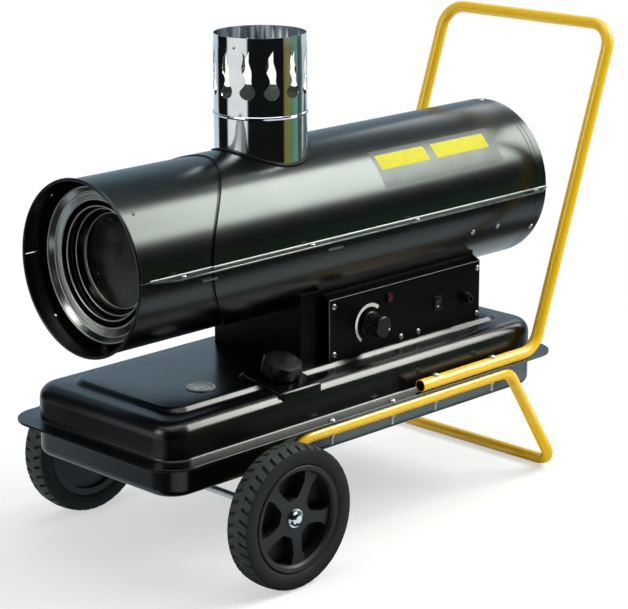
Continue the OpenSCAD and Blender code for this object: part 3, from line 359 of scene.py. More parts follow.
# Glazed ceramic of the electrodes: cream and glossy.
ceramic = plain("glazed ceramic", ("#dcd7cb", "#efece4"), 3.0, 0.05, 12, (0.15, 0.25), IOR=1.55)

# Green laminate of the control board: mottled under its lacquer.
laminate = plain("green board laminate", ("#1f4d33", "#2f6b45"), 1.5, 0.1, 9, (0.3, 0.45), IOR=1.55)

# Closed-cell foam of the gauge float: tan, dry and grainy.
foam = plain("sealed foam", ("#b8803f", "#d09552"), 1.6, 0.3, 8, (0.6, 0.8), IOR=1.45)

# Grey enamel of the gauge pointer: it hardly shows on the card.
pointer_enamel = plain("grey pointer enamel", ("#3c4040", "#505555"), 2.0, 0.05, 10, (0.3, 0.4), IOR=1.5)

# Screen-printed inks: thin, matt, slightly uneven. The film under the bars takes the barrel's cool gloss.
white_ink = plain("white printed ink", ("#d9dad6", "#ecedea"), 1.2, 0.04, 10, (0.45, 0.6), IOR=1.5)
yellow_ink = plain(
    "yellow printed ink", ("#c9c120", "#d5ce30"), 1.2, 0.04, 14, (0.5, 0.6), IOR=1.5, Specular_IOR_Level=0.15
)
label_film = plain(
    "black label film", ("#0d0e0d", "#121311"), 2.0, 0.04, 30, (0.33, 0.38), IOR=1.5, Specular_Tint=COOL_GLOSS
)
scale_ink = plain("black printed ink", ("#151515", "#202020"), 1.2, 0.04, 10, (0.45, 0.6), IOR=1.5)

# Printed gauge card: a dull mottled grey.
dial_card = plain("grey printed card", ("#9fa8a8", "#c6cece"), 1.2, 0.04, 5, (0.5, 0.7), IOR=1.5)

FINISHES = {
    barrel_enamel: "front_upper_shell front_lower_shell rear_upper_shell rear_lower_shell",
    tank_enamel: "tank_upper filler_neck",
    enamel_with_painted_reflection: "tank_lower",
    case_coat: "pedestal control_cover",
    yellow_coat: "handle_tube leg_tube",
    chrome: "flue_sleeve axle_caps",
    stainless: "outlet_ring",
    heat_steel: "drum combustion_chamber burner_head flue_stub",
    black_zinc: "pedestal_screws",
    zinc: "shell_screws cover_screws flange_bolts flange_nuts drum_brackets axle axle_spacers"
    " drain_plug thermostat_spindle motor_shaft",
    tyre_rubber: "tyre_near tyre_far",
    rim_plastic: "rim_near rim_far",
    black_plastic: "pump_filter thermostat_body thermostat_knob switch_frame switch_rocker cord_gland fuel_cap",
    pale_plastic: "gauge_body",
    black_rubber: "air_hose flue_gasket cap_gasket",
    red_lens: "indicator_lamp",
    clear_lens: "gauge_lens",
    brass: "fuel_nozzle filler_strainer",
    copper: "fuel_line fuel_pickup",
    aluminium: "fan air_pump",
    machine_paint: "motor motor_bracket ignition_transformer",
    guard_paint: "rear_guard",
    ceramic: "igniter_electrodes",
    laminate: "circuit_board",
    foam: "gauge_float",
    pointer_enamel: "gauge_pointer",
}
for material, names in FINISHES.items():
    for name in names.split():
        nodes[name].data.materials.clear()
        nodes[name].data.materials.append(material)


# Mesh helpers. Every piece is made in millimetres and ends in metres at the origin.


def put(name, data):
    """A new object in the scene."""
    obj = bpy.data.objects.new(name, data)
    bpy.context.scene.collection.objects.link(obj)
    return obj


def drop(obj):
    bpy.data.objects.remove(obj)


def built(name, mesh_builder, place=Matrix()):
    """A mesh in metres, from a function that fills a bmesh in millimetres, put in place."""
    shape = bmesh.new()
    mesh_builder(shape)
    bmesh.ops.remove_doubles(shape, verts=shape.verts, dist=0.001)
    bmesh.ops.recalc_face_normals(shape, faces=shape.faces)
    shape.transform(place)
    shape.transform(Matrix.Scale(MM, 4))
    mesh = bpy.data.meshes.new(name)
    shape.to_mesh(mesh)
    shape.free()
    return mesh


def settle(name, mesh, material, body, smooth=True):
    """Turns a finished mesh into a piece that rides on a body."""
    obj = put(name, mesh)
    if mesh.materials:
        mesh.materials.clear()
    mesh.materials.append(material)
    if smooth:
        mesh.shade_smooth()
        mesh.set_sharp_from_angle(angle=math.radians(32))
    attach(obj, body)
    return obj


def piece(name, mesh_builder, material, body, place=Matrix(), smooth=True):
    """A piece made from a function that fills a bmesh."""
    return settle(name, built(name, mesh_builder, place), material, body, smooth)


def pattern_shape(name, mesh_builder):
    """A shape to be copied or cut, which doesn't stay in the scene."""
    return put(name, built(name, mesh_builder))


def skin(shape, rings):
    """Faces between each closed ring of points and the next: returns them."""
    faces = []
    for near, far in zip(rings, rings[1:]):
        for k in range(len(near)):
            n = (k + 1) % len(near)
            faces.append(shape.faces.new((near[k], near[n], far[n], far[k])))
    return faces


def sweep(shape, loops):
    """A closed bar through a row of equal loops of points."""
    rings = [[shape.verts.new(p) for p in loop] for loop in loops]
    skin(shape, rings)
    for end in (rings[0], rings[-1]):
        shape.faces.new(end)


def oval(half_y, half_z, shift=0.0):
    """A twelve-sided oval: the section of a bead."""
    turns = [math.radians(30 * k) for k in range(12)]
    return [(half_y * math.cos(a) + shift, half_z * math.sin(a)) for a in turns]


def lathe(shape, profile, steps=48, closed=True):
    """Turns a list of (radius, height) points round Z."""
    loops = []
    for i in range(steps):
        turn = Matrix.Rotation(2 * math.pi * i / steps, 4, "Z")
        loops.append([shape.verts.new(turn @ Vector((r, 0, z))) for r, z in profile])
    for i in range(steps):
        near, far = loops[i], loops[(i + 1) % steps]
        for k in range(len(profile) - (0 if closed else 1)):
            n = (k + 1) % len(profile)
            corners = [near[k], far[k], far[n], near[n]]
            if profile[k][0] == 0:
                corners = [near[k], far[n], near[n]]
            elif profile[n][0] == 0:
                corners = [near[k], far[k], near[n]]
            if profile[k][0] or profile[n][0]:
                shape.faces.new(corners)


def bar(shape, size, middle=(0, 0, 0)):
    """A rectangular bar."""
    verts = bmesh.ops.create_cube(shape, size=1.0)["verts"]
    bmesh.ops.scale(shape, verts=verts, vec=size)
    bmesh.ops.translate(shape, verts=verts, vec=middle)


def cut(body, cutter):
    """Takes one pattern shape away from another."""
    modifier = body.modifiers.new("cut", "BOOLEAN")
    modifier.operation, modifier.object, modifier.solver, modifier.use_self = "DIFFERENCE", cutter, "EXACT", True
    mesh = bpy.data.meshes.new_from_object(body.evaluated_get(bpy.context.evaluated_depsgraph_get()))
    body.modifiers.clear()
    body.data = mesh
    drop(cutter)
    return body


def repeat_tree(name, material, by_points):
    """Geometry Nodes that repeat a shape: round Y in equal steps, or on points that each hold an aim."""
    tree = bpy.data.node_groups.new(name, "GeometryNodeTree")
    for label, kind in (("Geometry", "Geometry"), ("Shape", "Object"), ("Count", "Int"), ("Merge", "Float")):
        tree.interface.new_socket(label, in_out="INPUT", socket_type="NodeSocket" + kind)
    tree.interface.new_socket("Geometry", in_out="OUTPUT", socket_type="NodeSocketGeometry")
    given = add(tree, "NodeGroupInput").outputs
    shape = add(tree, "GeometryNodeObjectInfo", {"Object": given["Shape"]})
    if by_points:
        aim = add(tree, "GeometryNodeInputNamedAttribute", {"Name": "aim"}, data_type="FLOAT_VECTOR")
        turn = add(tree, "FunctionNodeAlignEulerToVector", {"Vector": aim.outputs["Attribute"]}, axis="Z")
        points = given["Geometry"]
        rotation = turn.outputs["Rotation"]
    else:
        row = add(tree, "GeometryNodeMeshLine", {"Count": given["Count"], "Offset": (0, 0, 0)})
        step = calc(tree, "DIVIDE", 2 * math.pi, given["Count"])
        angle = calc(tree, "MULTIPLY", add(tree, "GeometryNodeInputIndex").outputs["Index"], step)
        points = row.outputs["Mesh"]
        rotation = add(tree, "ShaderNodeCombineXYZ", {"Y": angle}).outputs["Vector"]
    copies = {"Points": points, "Instance": shape.outputs["Geometry"], "Rotation": rotation}
    copies = add(tree, "GeometryNodeInstanceOnPoints", copies).outputs["Instances"]
    real = add(tree, "GeometryNodeRealizeInstances", {"Geometry": copies}).outputs["Geometry"]
    joined = add(tree, "GeometryNodeMergeByDistance", {"Geometry": real, "Distance": given["Merge"]})
    painted = {"Geometry": joined.outputs["Geometry"], "Material": material}
    painted = add(tree, "GeometryNodeSetMaterial", painted).outputs["Geometry"]
    add(tree, "NodeGroupOutput", {"Geometry": painted})
    return tree


def repeated(name, tree, shape, count=0, merge=0.0, points=()):
    """Runs a repeat tree once and returns its result as a plain mesh in metres."""
    holder_mesh = bpy.data.meshes.new(name + "_points")
    holder_mesh.from_pydata([Vector(p) * MM for p, _ in points], [], [])
    if points:
        aims = holder_mesh.attributes.new("aim", "FLOAT_VECTOR", "POINT")
        for item, (_, direction) in zip(aims.data, points):
            item.vector = direction
    holder = put(name + "_holder", holder_mesh)
    modifier = holder.modifiers.new("repeat", "NODES")
    modifier.node_group = tree
    values = {"Shape": shape, "Count": count, "Merge": merge}
    for item in tree.interface.items_tree:
        if item.in_out == "INPUT" and item.name in values:
            modifier[item.identifier] = values[item.name]
    view = bpy.context.evaluated_depsgraph_get()
    mesh = bpy.data.meshes.new_from_object(holder.evaluated_get(view))
    mesh.name = name
    holder.modifiers.remove(modifier)
    drop(holder)
    return mesh


def row_of(name, tree, shape, places, material, smooth=True):
    """Copies of a shape on places of the chassis, as one piece."""
    return settle(name, repeated(name, tree, shape, points=places), material, "chassis", smooth)


# Screws with a cross recess. They stand for the plain solids of the screw groups.

screws_on_points = repeat_tree("screws on points", zinc, True)


def screw_heads(name, head_r, head_h, shank, places, material):
    """Pan heads on short shanks, each with a cross recess cut into it."""

    def head(shape):
        profile = [(0, -shank), (2.0, -shank), (2.0, 0), (head_r, 0), (head_r, head_h * 0.4)]
        for a in (math.radians(d) for d in (22, 42, 60, 76)):
            profile.append((head_r * math.cos(a), head_h * (0.4 + 0.6 * math.sin(a))))
        lathe(shape, profile + [(0, head_h)], 28, closed=False)

    def cross(shape):
        for size in ((head_r * 0.95, head_r * 0.2), (head_r * 0.2, head_r * 0.95)):
            bar(shape, (*size, 2 * head_h), (0, 0, head_h * 1.45))

    form = cut(pattern_shape(name + "_form", head), pattern_shape(name + "_cross", cross))
    heads = row_of(name, screws_on_points, form, places, material)
    drop(form)
    return heads


def on_barrel(d, angle):
    """Place and direction of a screw into the shell, angle above the near side."""
    a = math.radians(angle)
    out = Vector((0, -math.cos(a), math.sin(a)))
    return Vector((rim(d), 0, BARREL_Z)) + out * BARREL_R, out


shell_places = [
    (Vector((rim(d), s * SEAM_SCREW_Y, BARREL_Z + 1.5)), Vector((0, 0, 1)))
    for d in (78, 350, 593, 898)
    for s in (-1, 1)
]
shell_places += [on_barrel(d, a) for a in (-22, 202) for d in (756, 821)]
shell_places += [on_barrel(922, a) for a in (-31, 90, 211)]
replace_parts(screw_heads("shell_screw_heads", 4.6, 2.6, 3.8, shell_places, zinc), "shell_screws")

cover_places = [
    (Vector((at(u), PANEL_Y, z)), Vector((0, -1, 0)))
    for u, z in ((433, 379), (433, 298), (786, 379), (786, 298), (593, 296), (636, 296))
]
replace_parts(screw_heads("cover_screw_heads", 5.0, 3.2, 9.5, cover_places, zinc), "cover_screws")

pedestal_places = [
    (Vector((at(373), y, z)), Vector((-1, 0, 0))) for y, z in ((60, 297), (37, 317), (-60, 297), (-37, 317))
]
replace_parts(screw_heads("pedestal_screw_heads", 3.6, 2.0, 7.5, pedestal_places, black_zinc), "pedestal_screws")


# Tyres: one sector of the tread with its two slanted notches, repeated round the axle.

SECTORS = 40
# Each row of notches: its reach across the tyre, and its share of the sector.
NOTCHES = {(1.8, 18.0): (0.09, 0.41), (29.0, 45.2): (0.59, 0.91)}
NOTCH_WALL = 0.035
NOTCH_MIDDLE = 11.5
NOTCH_SLANT = math.tan(math.radians(20))


def tread_sector(shape):
    """One sector of a tyre about Y, its outer side towards -Y, with a slanted notch in each of two staggered rows."""
    width = WHEEL_OUT - WHEEL_IN
    side = [(86.3, 5.2), (88.5, 3.0), (93, 1.2), (99, 0.2), (104.6, 0.3), (108.2, 0.8), (110.6, 1.4), (111.9, 2.3)]
    tread = [(112.9, 3.8), (113.5, 6.0), (114.2, 11.0), (114.8, 17.4), (WHEEL_R, 18.6)]
    half = side + tread
    profile = half + [(WHEEL_R, width / 2)] + [(r, width - w) for r, w in reversed(half)]
    marks = [0.0, 0.5, 1.0]
    for start, stop in NOTCHES.values():
        marks += [start, start + NOTCH_WALL, stop - NOTCH_WALL, stop]
    grid = []
    for mark in sorted(marks):
        line = []
        for r, w in profile:
            lean = 0.0
            if r > NOTCH_FLOOR_R:
                lean = (abs(w - width / 2) - NOTCH_MIDDLE) * NOTCH_SLANT / WHEEL_R
                for (low, high), (start, stop) in NOTCHES.items():
                    if low < w < high and start < mark < stop:
                        r = NOTCH_FLOOR_R
            a = math.radians(mark * 360.0 / SECTORS) + lean
            line.append(shape.verts.new((r * math.cos(a), -(WHEEL_IN + w), r * math.sin(a))))
        grid.append(line)
    skin(shape, grid)


round_axle = repeat_tree("tread round the axle", tyre_rubber, False)
sector = pattern_shape("tread_sector_form", tread_sector)
for name, body, turn in (("near", "near_wheel", 0.0), ("far", "far_wheel", math.pi)):
    mesh = repeated(name + "_tread", round_axle, sector, count=SECTORS, merge=0.02 * MM)
    mesh.transform(Matrix.Translation(Vector((at(AXLE_U), 0, WHEEL_R)) * MM) @ Matrix.Rotation(turn, 4, "Z"))
    tyre = settle("tyre_" + name + "_treaded", mesh, tyre_rubber, body)
    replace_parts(tyre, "tyre_" + name)
drop(sector)


# Barrel seam: the bend at the flange's root and its hemmed edge, in pale metal as the two painted highlight lines.


def seam_trim(shape):
    """The hem and the bend of each flange, from stations of depth and flange edge along both shells."""
    bend = 1.7
    hem = oval(1.0, 1.45, -0.4)
    root = [(0, 1.3), (bend, 1.3)]
    for a in (math.radians(15 * k) for k in range(7)):
        root.append((bend - bend * math.sin(a), 1.52 + bend - bend * math.cos(a)))
    front = (FRONT_SHELL_R, ((23, 138.2), (62, SEAM_EDGE_Y), (LAP_D - 0.4, SEAM_EDGE_Y)))
    rear = (BARREL_R, ((LAP_D + 0.1, SEAM_EDGE_Y), (909, SEAM_EDGE_Y), (938, 140)))
    for wall, stations in (front, rear):
        for s in (-1, 1):
            sweep(shape, [[(rim(d), s * (edge + y), BARREL_Z + z) for y, z in hem] for d, edge in stations])
            ends = (stations[0][0], stations[-1][0])
            sweep(shape, [[(rim(d), s * (wall - 0.1 + y), BARREL_Z + z) for y, z in root] for d in ends])


piece("barrel_seam_trim", seam_trim, seam_highlight_metal, "chassis")


def cover_folds(shape):
    """The rounded fold along the top and the front end of the control cover's face."""
    bead = oval(0.9, 0.9)
    y = PANEL_Y + 0.8
    sweep(shape, [[(at(u), y + b, PANEL_TOP_Z + c) for b, c in bead] for u in (PANEL_FRONT_U + 0.2, PANEL_BACK_U)])
    sweep(shape, [[(at(PANEL_FRONT_U) + b, y + c, z) for b, c in bead] for z in (PANEL_FOOT_Z, PANEL_TOP_Z + 0.2)])


# The black cover's folds are drawn in pale steel: a painted highlight along them.
piece("cover_fold_edges", cover_folds, bead_steel_highlight, "chassis")


# Tank: two deep-drawn pressings, with the soft edges that carry the highlights. Each outline of a pressing is an inset
# from the tank's walls, a corner radius and a height.


def pan_ring(shape, inset, radius, z, steps=12):
    """A rounded rectangle of points."""
    half_l, half_w = TANK_HALF[0] - inset, TANK_HALF[1] - inset
    ring = []
    for quarter, (sx, sy) in enumerate(((1, 1), (-1, 1), (-1, -1), (1, -1))):
        middle = Vector((at(TANK_MID_U) + sx * (half_l - radius), sy * (half_w - radius), z))
        for i in range(steps + 1):
            a = math.radians(90 * (quarter + i / steps))
            ring.append(shape.verts.new(middle + radius * Vector((math.cos(a), math.sin(a), 0))))
    return ring


def pressing(shape, outside, inside):
    """A drawn sheet: both lists go from the flange's joint face to the flat end of the pan."""
    outer, inner = ([pan_ring(shape, *outline) for outline in side] for side in (outside, inside))
    for rings in (outer, outer[:1] + inner):
        skin(shape, rings)
        shape.faces.new(rings[-1])


def pan_edge(start, radius, foot, rise):
    """The flange, its fillet, the wall and the rounded edge of one pressing: rise is 1 up, -1 down."""
    z0 = TANK_SPLIT + SHEET * rise
    brink = 0.4
    outlines = [
        (-FLANGE_OUT, FLANGE_CORNER_R, TANK_SPLIT),
        (-FLANGE_OUT, FLANGE_CORNER_R, z0 - brink * rise),
        (-FLANGE_OUT + brink, FLANGE_CORNER_R - brink, z0),
    ]
    for a in (math.radians(22.5 * k) for k in range(5)):
        out = foot - foot * math.sin(a)
        outlines.append((-out, TANK_CORNER_R + out, z0 + rise * foot * (1 - math.cos(a))))
    for a in (math.radians(10 * k) for k in range(10)):
        inset = radius * (1 - math.cos(a))
        outlines.append((inset, TANK_CORNER_R - inset, start + rise * radius * math.sin(a)))
    return outlines


def upper_pressing(shape):
    """The upper pressing with its raised plateau and the sloped seat of the filler."""
    wall_top, edge_r = 255, 24
    outside = pan_edge(wall_top, edge_r, 5, 1)
    shelf = wall_top + edge_r
    for k in (i / 10 for i in range(11)):
        ease = 3 * k * k - 2 * k * k * k
        outside.append((41 + 12 * k, 39 - 12 * k, shelf + (PLATEAU_Z - shelf) * ease))
    inside = [(2, 43, TANK_SPLIT), (2, 43, 256), (22, 26, 276.5), (46, 34, 276.5), (58, 22, 285)]
    pressing(shape, outside, inside)
    side = ((-168, 262), (-168, 280.5), (-76, 296.7), (-64, 286), (-64, 262))
    ends = [[shape.verts.new((at(u), y, z)) for y, z in side] for u in (268, 356)]
    seat = [shape.faces.new(end) for end in ends] + skin(shape, ends)
    edges = {e for f in seat for e in f.edges if max(v.co.z for v in e.verts) > 270}
    bmesh.ops.bevel(shape, geom=list(edges), offset=4.5, segments=5, profile=0.5, affect="EDGES")


def tank_bores(shape):
    """The filler neck's, the gauge's and the pickup pipe's holes."""
    neck = Matrix.Translation((at(312), -116, 289.67)) @ Matrix.Rotation(math.radians(18), 4, "X")
    gauge = Matrix.Translation((at(GAUGE_PLACE[0]), GAUGE_PLACE[1], PLATEAU_Z))
    pickup = Matrix.Translation((rim(590), 30, PLATEAU_Z))
    for place, r in ((neck, 24.0), (gauge, 20.3), (pickup, 3.2)):
        bmesh.ops.create_cone(shape, cap_ends=True, segments=64, radius1=r, radius2=r, depth=60, matrix=place)


def lower_pressing(shape):
    pressing(shape, pan_edge(176, 14, 5, -1), [(2, 43, TANK_SPLIT), (2, 43, 177), (16, 29, 164)])


upper_form = cut(pattern_shape("tank_upper_form", upper_pressing), pattern_shape("tank_bore_forms", tank_bores))
upper = settle("tank_upper_pressing", upper_form.data, tank_enamel, "chassis")
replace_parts(upper, "tank_upper")
drop(upper_form)
lower = piece("tank_lower_pressing", lower_pressing, enamel_with_painted_reflection, "chassis")
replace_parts(lower, "tank_lower")


# Frame tubes: round tube on the same bent paths as the solids.


def bent_path(points, bend, steps=10):
    """A centre line with every corner rounded to the bend radius."""
    path = [Vector(points[0])]
    for before, corner, after in zip(points, points[1:], points[2:]):
        corner = Vector(corner)
        back = (Vector(before) - corner).normalized()
        on = (Vector(after) - corner).normalized()
        turn = math.pi - back.angle(on)
        start = corner + back * bend * math.tan(turn / 2)
        centre = corner + (back + on).normalized() * bend / math.cos(turn / 2)
        arm = start - centre
        for i in range(steps + 1):
            t = turn * i / steps
            path.append(centre + arm * math.cos(t) - back * bend * math.sin(t))
    return path + [Vector(points[-1])]


def tube(path, radius, sides=28):
    """An open-ended tube along a path; its inner faces take the second material."""

    def build(shape):
        outer, inner = [], []
        normal = Vector((0, 1, 0))
        turns = [2 * math.pi * k / sides for k in range(sides)]
        for i, point in enumerate(path):
            tangent = (path[min(i + 1, len(path) - 1)] - path[max(i - 1, 0)]).normalized()
            normal = (normal - tangent * normal.dot(tangent)).normalized()
            side = tangent.cross(normal)
            for rings, r in ((outer, radius), (inner, radius - TUBE_WALL)):
                rings.append([shape.verts.new(point + r * (normal * math.cos(a) + side * math.sin(a))) for a in turns])
        skin(shape, outer)
        for face in skin(shape, inner):
            face.material_index = 1
        for end in (0, -1):
            skin(shape, (outer[end], inner[end]))

    return build


def both_sides(points):
    """A route on the near side, then its mirror image back along the far side."""
    return points + [(x, -y, z) for x, y, z in reversed(points)]


handle_top_u = HANDLE_BEND_U + (HANDLE_TOP_Z - HANDLE_Z) / math.tan(math.radians(70.5))
handle_route = both_sides(
    [
        (at(563), TUBE_Y, HANDLE_Z),
        (at(HANDLE_BEND_U), TUBE_Y, HANDLE_Z),
        (at(handle_top_u), TUBE_Y, HANDLE_TOP_Z),
    ]
)
leg_floor_u = LEG_BEND_U + (LEG_Z - LEG_R) / math.tan(math.radians(57))
stay = math.radians(48)
stay_top_u = AXLE_U + (LEG_Z - WHEEL_R) / math.tan(stay)
past_axle = 14
leg_route = both_sides(
    [
        (at(AXLE_U) - past_axle * math.cos(stay), TUBE_Y, WHEEL_R - past_axle * math.sin(stay)),
        (at(stay_top_u), TUBE_Y, LEG_Z),
        (at(LEG_BEND_U), TUBE_Y, LEG_Z),
        (at(leg_floor_u), TUBE_Y, LEG_R),
    ]
)
handle_tube = tube(bent_path(handle_route, 42), HANDLE_R)
handle = piece("handle_tube_round", handle_tube, yellow_coat, "chassis")
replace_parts(handle, "handle_tube")
leg_tube = tube(bent_path(leg_route, 38), LEG_R)
legs = piece("leg_tube_round", leg_tube, yellow_coat, "chassis")
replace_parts(legs, "leg_tube")
for tubes in (handle, legs):
    tubes.data.materials.append(tube_inside)


# Prints: how far their under and upper sides stand off the surface.
PRINT_UNDER = 0.02
PRINT_UPPER = 0.2

# Control panel print: the dial's arc, the knob's dot and the rocker's mark.
panel_face = Matrix.Translation((0, PANEL_Y, 0)) @ Matrix.Rotation(math.pi / 2, 4, "X")


def dial_arc(shape):
    """A printed crescent that swells from the lower left, over the top, to the right."""
    steps = 60
    loops = []
    for t in (i / steps for i in range(steps + 1)):
        a = math.radians(232 - 182 * t)
        inner = DIAL_R - (4.6 + 1.6 * t)
        section = ((inner, PRINT_UNDER), (DIAL_R, PRINT_UNDER), (DIAL_R, PRINT_UPPER), (inner, PRINT_UPPER))
        loops.append([(r * math.cos(a), r * math.sin(a), h) for r, h in section])
    sweep(shape, loops)


def knob_dot(shape):
    """A small raised disc with a soft edge, on the knob's face."""
    face, top, r = 33.0, 33.3, 1.8
    lathe(shape, [(0, face), (r, face), (r, face + 0.18), (r * 0.85, top), (0, top)], 20, closed=False)


dial_place = panel_face @ Matrix.Translation((at(KNOB_PLACE[0]), KNOB_PLACE[1], 0))
piece("dial_arc_print", dial_arc, white_ink, "chassis", dial_place, False)
dot_place = dial_place @ Matrix.Translation((13.4 * math.cos(-0.45), 13.4 * math.sin(-0.45), 0))
piece("knob_dot", knob_dot, white_ink, "knob", dot_place)

rocker_face = panel_face @ Matrix.Translation((at(685), 336, -2)) @ Matrix.Rotation(math.radians(9), 4, "X")
rocker_face = rocker_face @ Matrix.Translation((0, -5, 4.1)) @ Matrix.Rotation(math.radians(-9.9), 4, "X")
rocker_bar = (4.2, 1.8, 0.25)
piece("rocker_mark", lambda shape: bar(shape, rocker_bar), white_ink, "rocker", rocker_face, False)


# Two generic plain bars on a film, as a printed strip on the barrel.


def barrel_strip(d0, d1, a0, a1, lift):
    """A thin curved patch on the near upper side of the barrel, between two depths and two angles."""

    def build(shape):
        steps = 16
        section = ((d0, PRINT_UNDER), (d1, PRINT_UNDER), (d1, lift), (d0, lift))
        loops = []
        for i in range(steps + 1):
            a = math.radians(a0 + (a1 - a0) * i / steps)
            y, z = -math.cos(a), math.sin(a)
            loops.append([(rim(d), (BARREL_R + h) * y, BARREL_Z + (BARREL_R + h) * z) for d, h in section])
        sweep(shape, loops)

    return build


piece("barrel_label_film", barrel_strip(542, 838, 24.5, 53.5, 0.12), label_film, "chassis")
piece("barrel_stripe_short", barrel_strip(551, 668, 38, 49.5, PRINT_UPPER), yellow_ink, "chassis")
piece("barrel_stripe_long", barrel_strip(686, 818, 38, 49.5, PRINT_UPPER), yellow_ink, "chassis")


# Gauge: a grey dial and its scale, low in the housing under the window.

gauge_place = Matrix.Translation((at(GAUGE_PLACE[0]), GAUGE_PLACE[1], PLATEAU_Z))
gauge_card = [(2.6, -3.35), (16.6, -3.35), (16.6, -3.15), (2.6, -3.15)]
piece("gauge_dial", lambda shape: lathe(shape, gauge_card), dial_card, "chassis", gauge_place)

marks_on_points = repeat_tree("marks on points", scale_ink, True)
mark = pattern_shape("gauge_mark_form", lambda shape: bar(shape, (3.2, 0.7, 0.12)))
mark_places = []
for a in (math.radians(29.35 * i) for i in range(9)):
    spot = gauge_place @ Vector((14.6 * math.cos(a), 14.6 * math.sin(a), -3.12))
    mark_places.append((spot, Vector((0, 0, 1))))
row_of("gauge_marks", marks_on_points, mark, mark_places, scale_ink, False)
drop(mark)


# Outlet: the rolled beads of the ring, of the drum's dished front and of the barrel's rim, a hair proud of the solids.


def rolled_beads(beads):
    """Round rings about the barrel's axis, from their radius, depth and thickness."""

    def build(shape):
        for radius, depth, thick in beads:
            lathe(shape, [(radius + a, depth + b) for a, b in oval(thick, thick)], 120)

    return build


outlet_axis = Matrix.Translation((rim(0), 0, BARREL_Z)) @ Matrix.Rotation(math.pi / 2, 4, "Y")
ring_beads = [(RING_R, RING_FRONT_D, 1.5), (RING_R - 8, 43.8, 1.3), (THROAT_R + 1.6, THROAT_FRONT_D, 1.9)]
# The ring's and the drum's beads are in paler steel than ring and drum: painted highlight lines.
piece("outlet_ring_beads", rolled_beads(ring_beads), bead_steel_highlight, "chassis", outlet_axis)
drum_beads = [(DRUM_R - 0.6, 49.0, 1.4), (DRUM_R - 6.6, 62.0, 1.2), (DRUM_R - 15.2, 74.6, 0.8)]
piece("drum_beads", rolled_beads(drum_beads), bead_steel_highlight, "chassis", outlet_axis)
rim_bead = [(FRONT_SHELL_R + 1.0, 1.6, 2.6)]
piece("front_rim_roll", rolled_beads(rim_bead), barrel_enamel, "chassis", outlet_axis)


# Rivets: on the drum's front disc and near the flue's top.


def rivet(shape):
    lathe(shape, [(2.4, 0), (2.3, 0.6), (1.6, 1.1), (0, 1.3)], 16, closed=False)


rivets_on_points = repeat_tree("rivets on points", heat_steel, True)
rivet_form = pattern_shape("rivet_form", rivet)
disc_places = [
    (Vector((rim(DRUM_DISC_D), y, BARREL_Z + z)), Vector((-1, 0, 0)))
    for y, z in ((-52, 38), (14, 62), (48, -30), (-20, -60), (0, 6))
]
row_of("drum_disc_rivets", rivets_on_points, rivet_form, disc_places, heat_steel)
seam_angle = math.radians(192.5)
seam_out = Vector((math.cos(seam_angle), math.sin(seam_angle), 0))
flue_places = [(seam_out * FLUE_R + Vector((at(FLUE_U), 0, FLUE_RIVET_Z)), seam_out)]
row_of("flue_rivet", rivets_on_points, rivet_form, flue_places, zinc)
drop(rivet_form)


# Flue stub: a short collar on the drum below the flames, in pale steel as painted light seen behind the flames.


def stub_collar(shape):
    lathe(shape, [(STUB_R[0], STUB_Z[0]), (STUB_R[0], STUB_Z[1]), (STUB_R[1], STUB_Z[1]), (STUB_R[1], STUB_Z[0])], 96)


flue_axis = Matrix.Translation((at(FLUE_U), 0, 0))
stub = piece("flue_stub_collar", stub_collar, bead_steel_highlight, "chassis", flue_axis)
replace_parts(stub, "flue_stub")


# Stage, in metres: a pale floor, soft studio light, and a camera where the photographer stood.


def sheet(name, corners, faces, material):
    """A flat or bent sheet of the studio."""
    mesh = bpy.data.meshes.new(name)
    mesh.from_pydata(corners, [], faces)
    mesh.materials.append(material)
    return put(name, mesh)


# Studio paper: white to the camera and bluish in reflections, and it still takes the object's soft shadow.
floor_paper, tree, shader, place = surface(
    "pale studio paper", ("#f1f1f0", "#f6f6f5"), 4.0, 0.05, 400, (0.8, 0.9), Specular_IOR_Level=0.0
)
ray = add(tree, "ShaderNodeLightPath").outputs
seen = calc(tree, "MAXIMUM", ray["Is Camera Ray"], ray["Is Glossy Ray"])
seen = calc(tree, "MAXIMUM", seen, ray["Is Transmission Ray"])
share = remap(tree, vector_calc(tree, "LENGTH", place), 0.5, 1.5, 0.55, 1.0, "SMOOTHSTEP")
paper_tone = blend(tree, ray["Is Glossy Ray"], (1, 1, 1, 1), srgb("#cfdfec"))
white = add(tree, "ShaderNodeEmission", {"Color": paper_tone, "Strength": 1.0}).outputs[0]
glow = calc(tree, "MULTIPLY", seen, share)
paper = add(tree, "ShaderNodeMixShader", {0: glow, 1: shader.outputs[0], 2: white}).outputs[0]
feed(tree.nodes["Material Output"], "Surface", paper)
floor_corners = [(-40, -40, 0), (40, -40, 0), (40, 40, 0), (-40, 40, 0)]
floor = sheet("floor", floor_corners, [(0, 1, 2, 3)], floor_paper)

# Colours round the room by compass angle from the object's length axis: pale behind, dark flags beside the camera.
WALLS = (
    (-180, "#b8c4ca"), (-168, "#b8c4ca"), (-165, "#24282a"), (-72, "#24282a"), (-69, "#3a4042"), (-24, "#465054"),
    (-16, "#93a6b0"), (20, "#a2bccc"), (60, "#b2d0e4"), (104, "#a6bcc9"), (108, "#30363a"), (140, "#30363a"),
    (144, "#b8c4ca"), (180, "#b8c4ca"),
)
CARDS = (
    (-180, "#f4f5f4"), (-168, "#f4f5f4"), (-165, "#141616"), (-80, "#141616"), (-77, "#7d7440"), (-63, "#857c48"),
    (-59, "#587f66"), (-36, "#6f9c84"), (-30, "#3c4a4c"), (-12, "#586b6e"), (4, "#cfd8da"), (102, "#dfe4e6"),
    (108, "#141616"), (140, "#141616"), (144, "#f4f5f4"), (180, "#f4f5f4"),
)


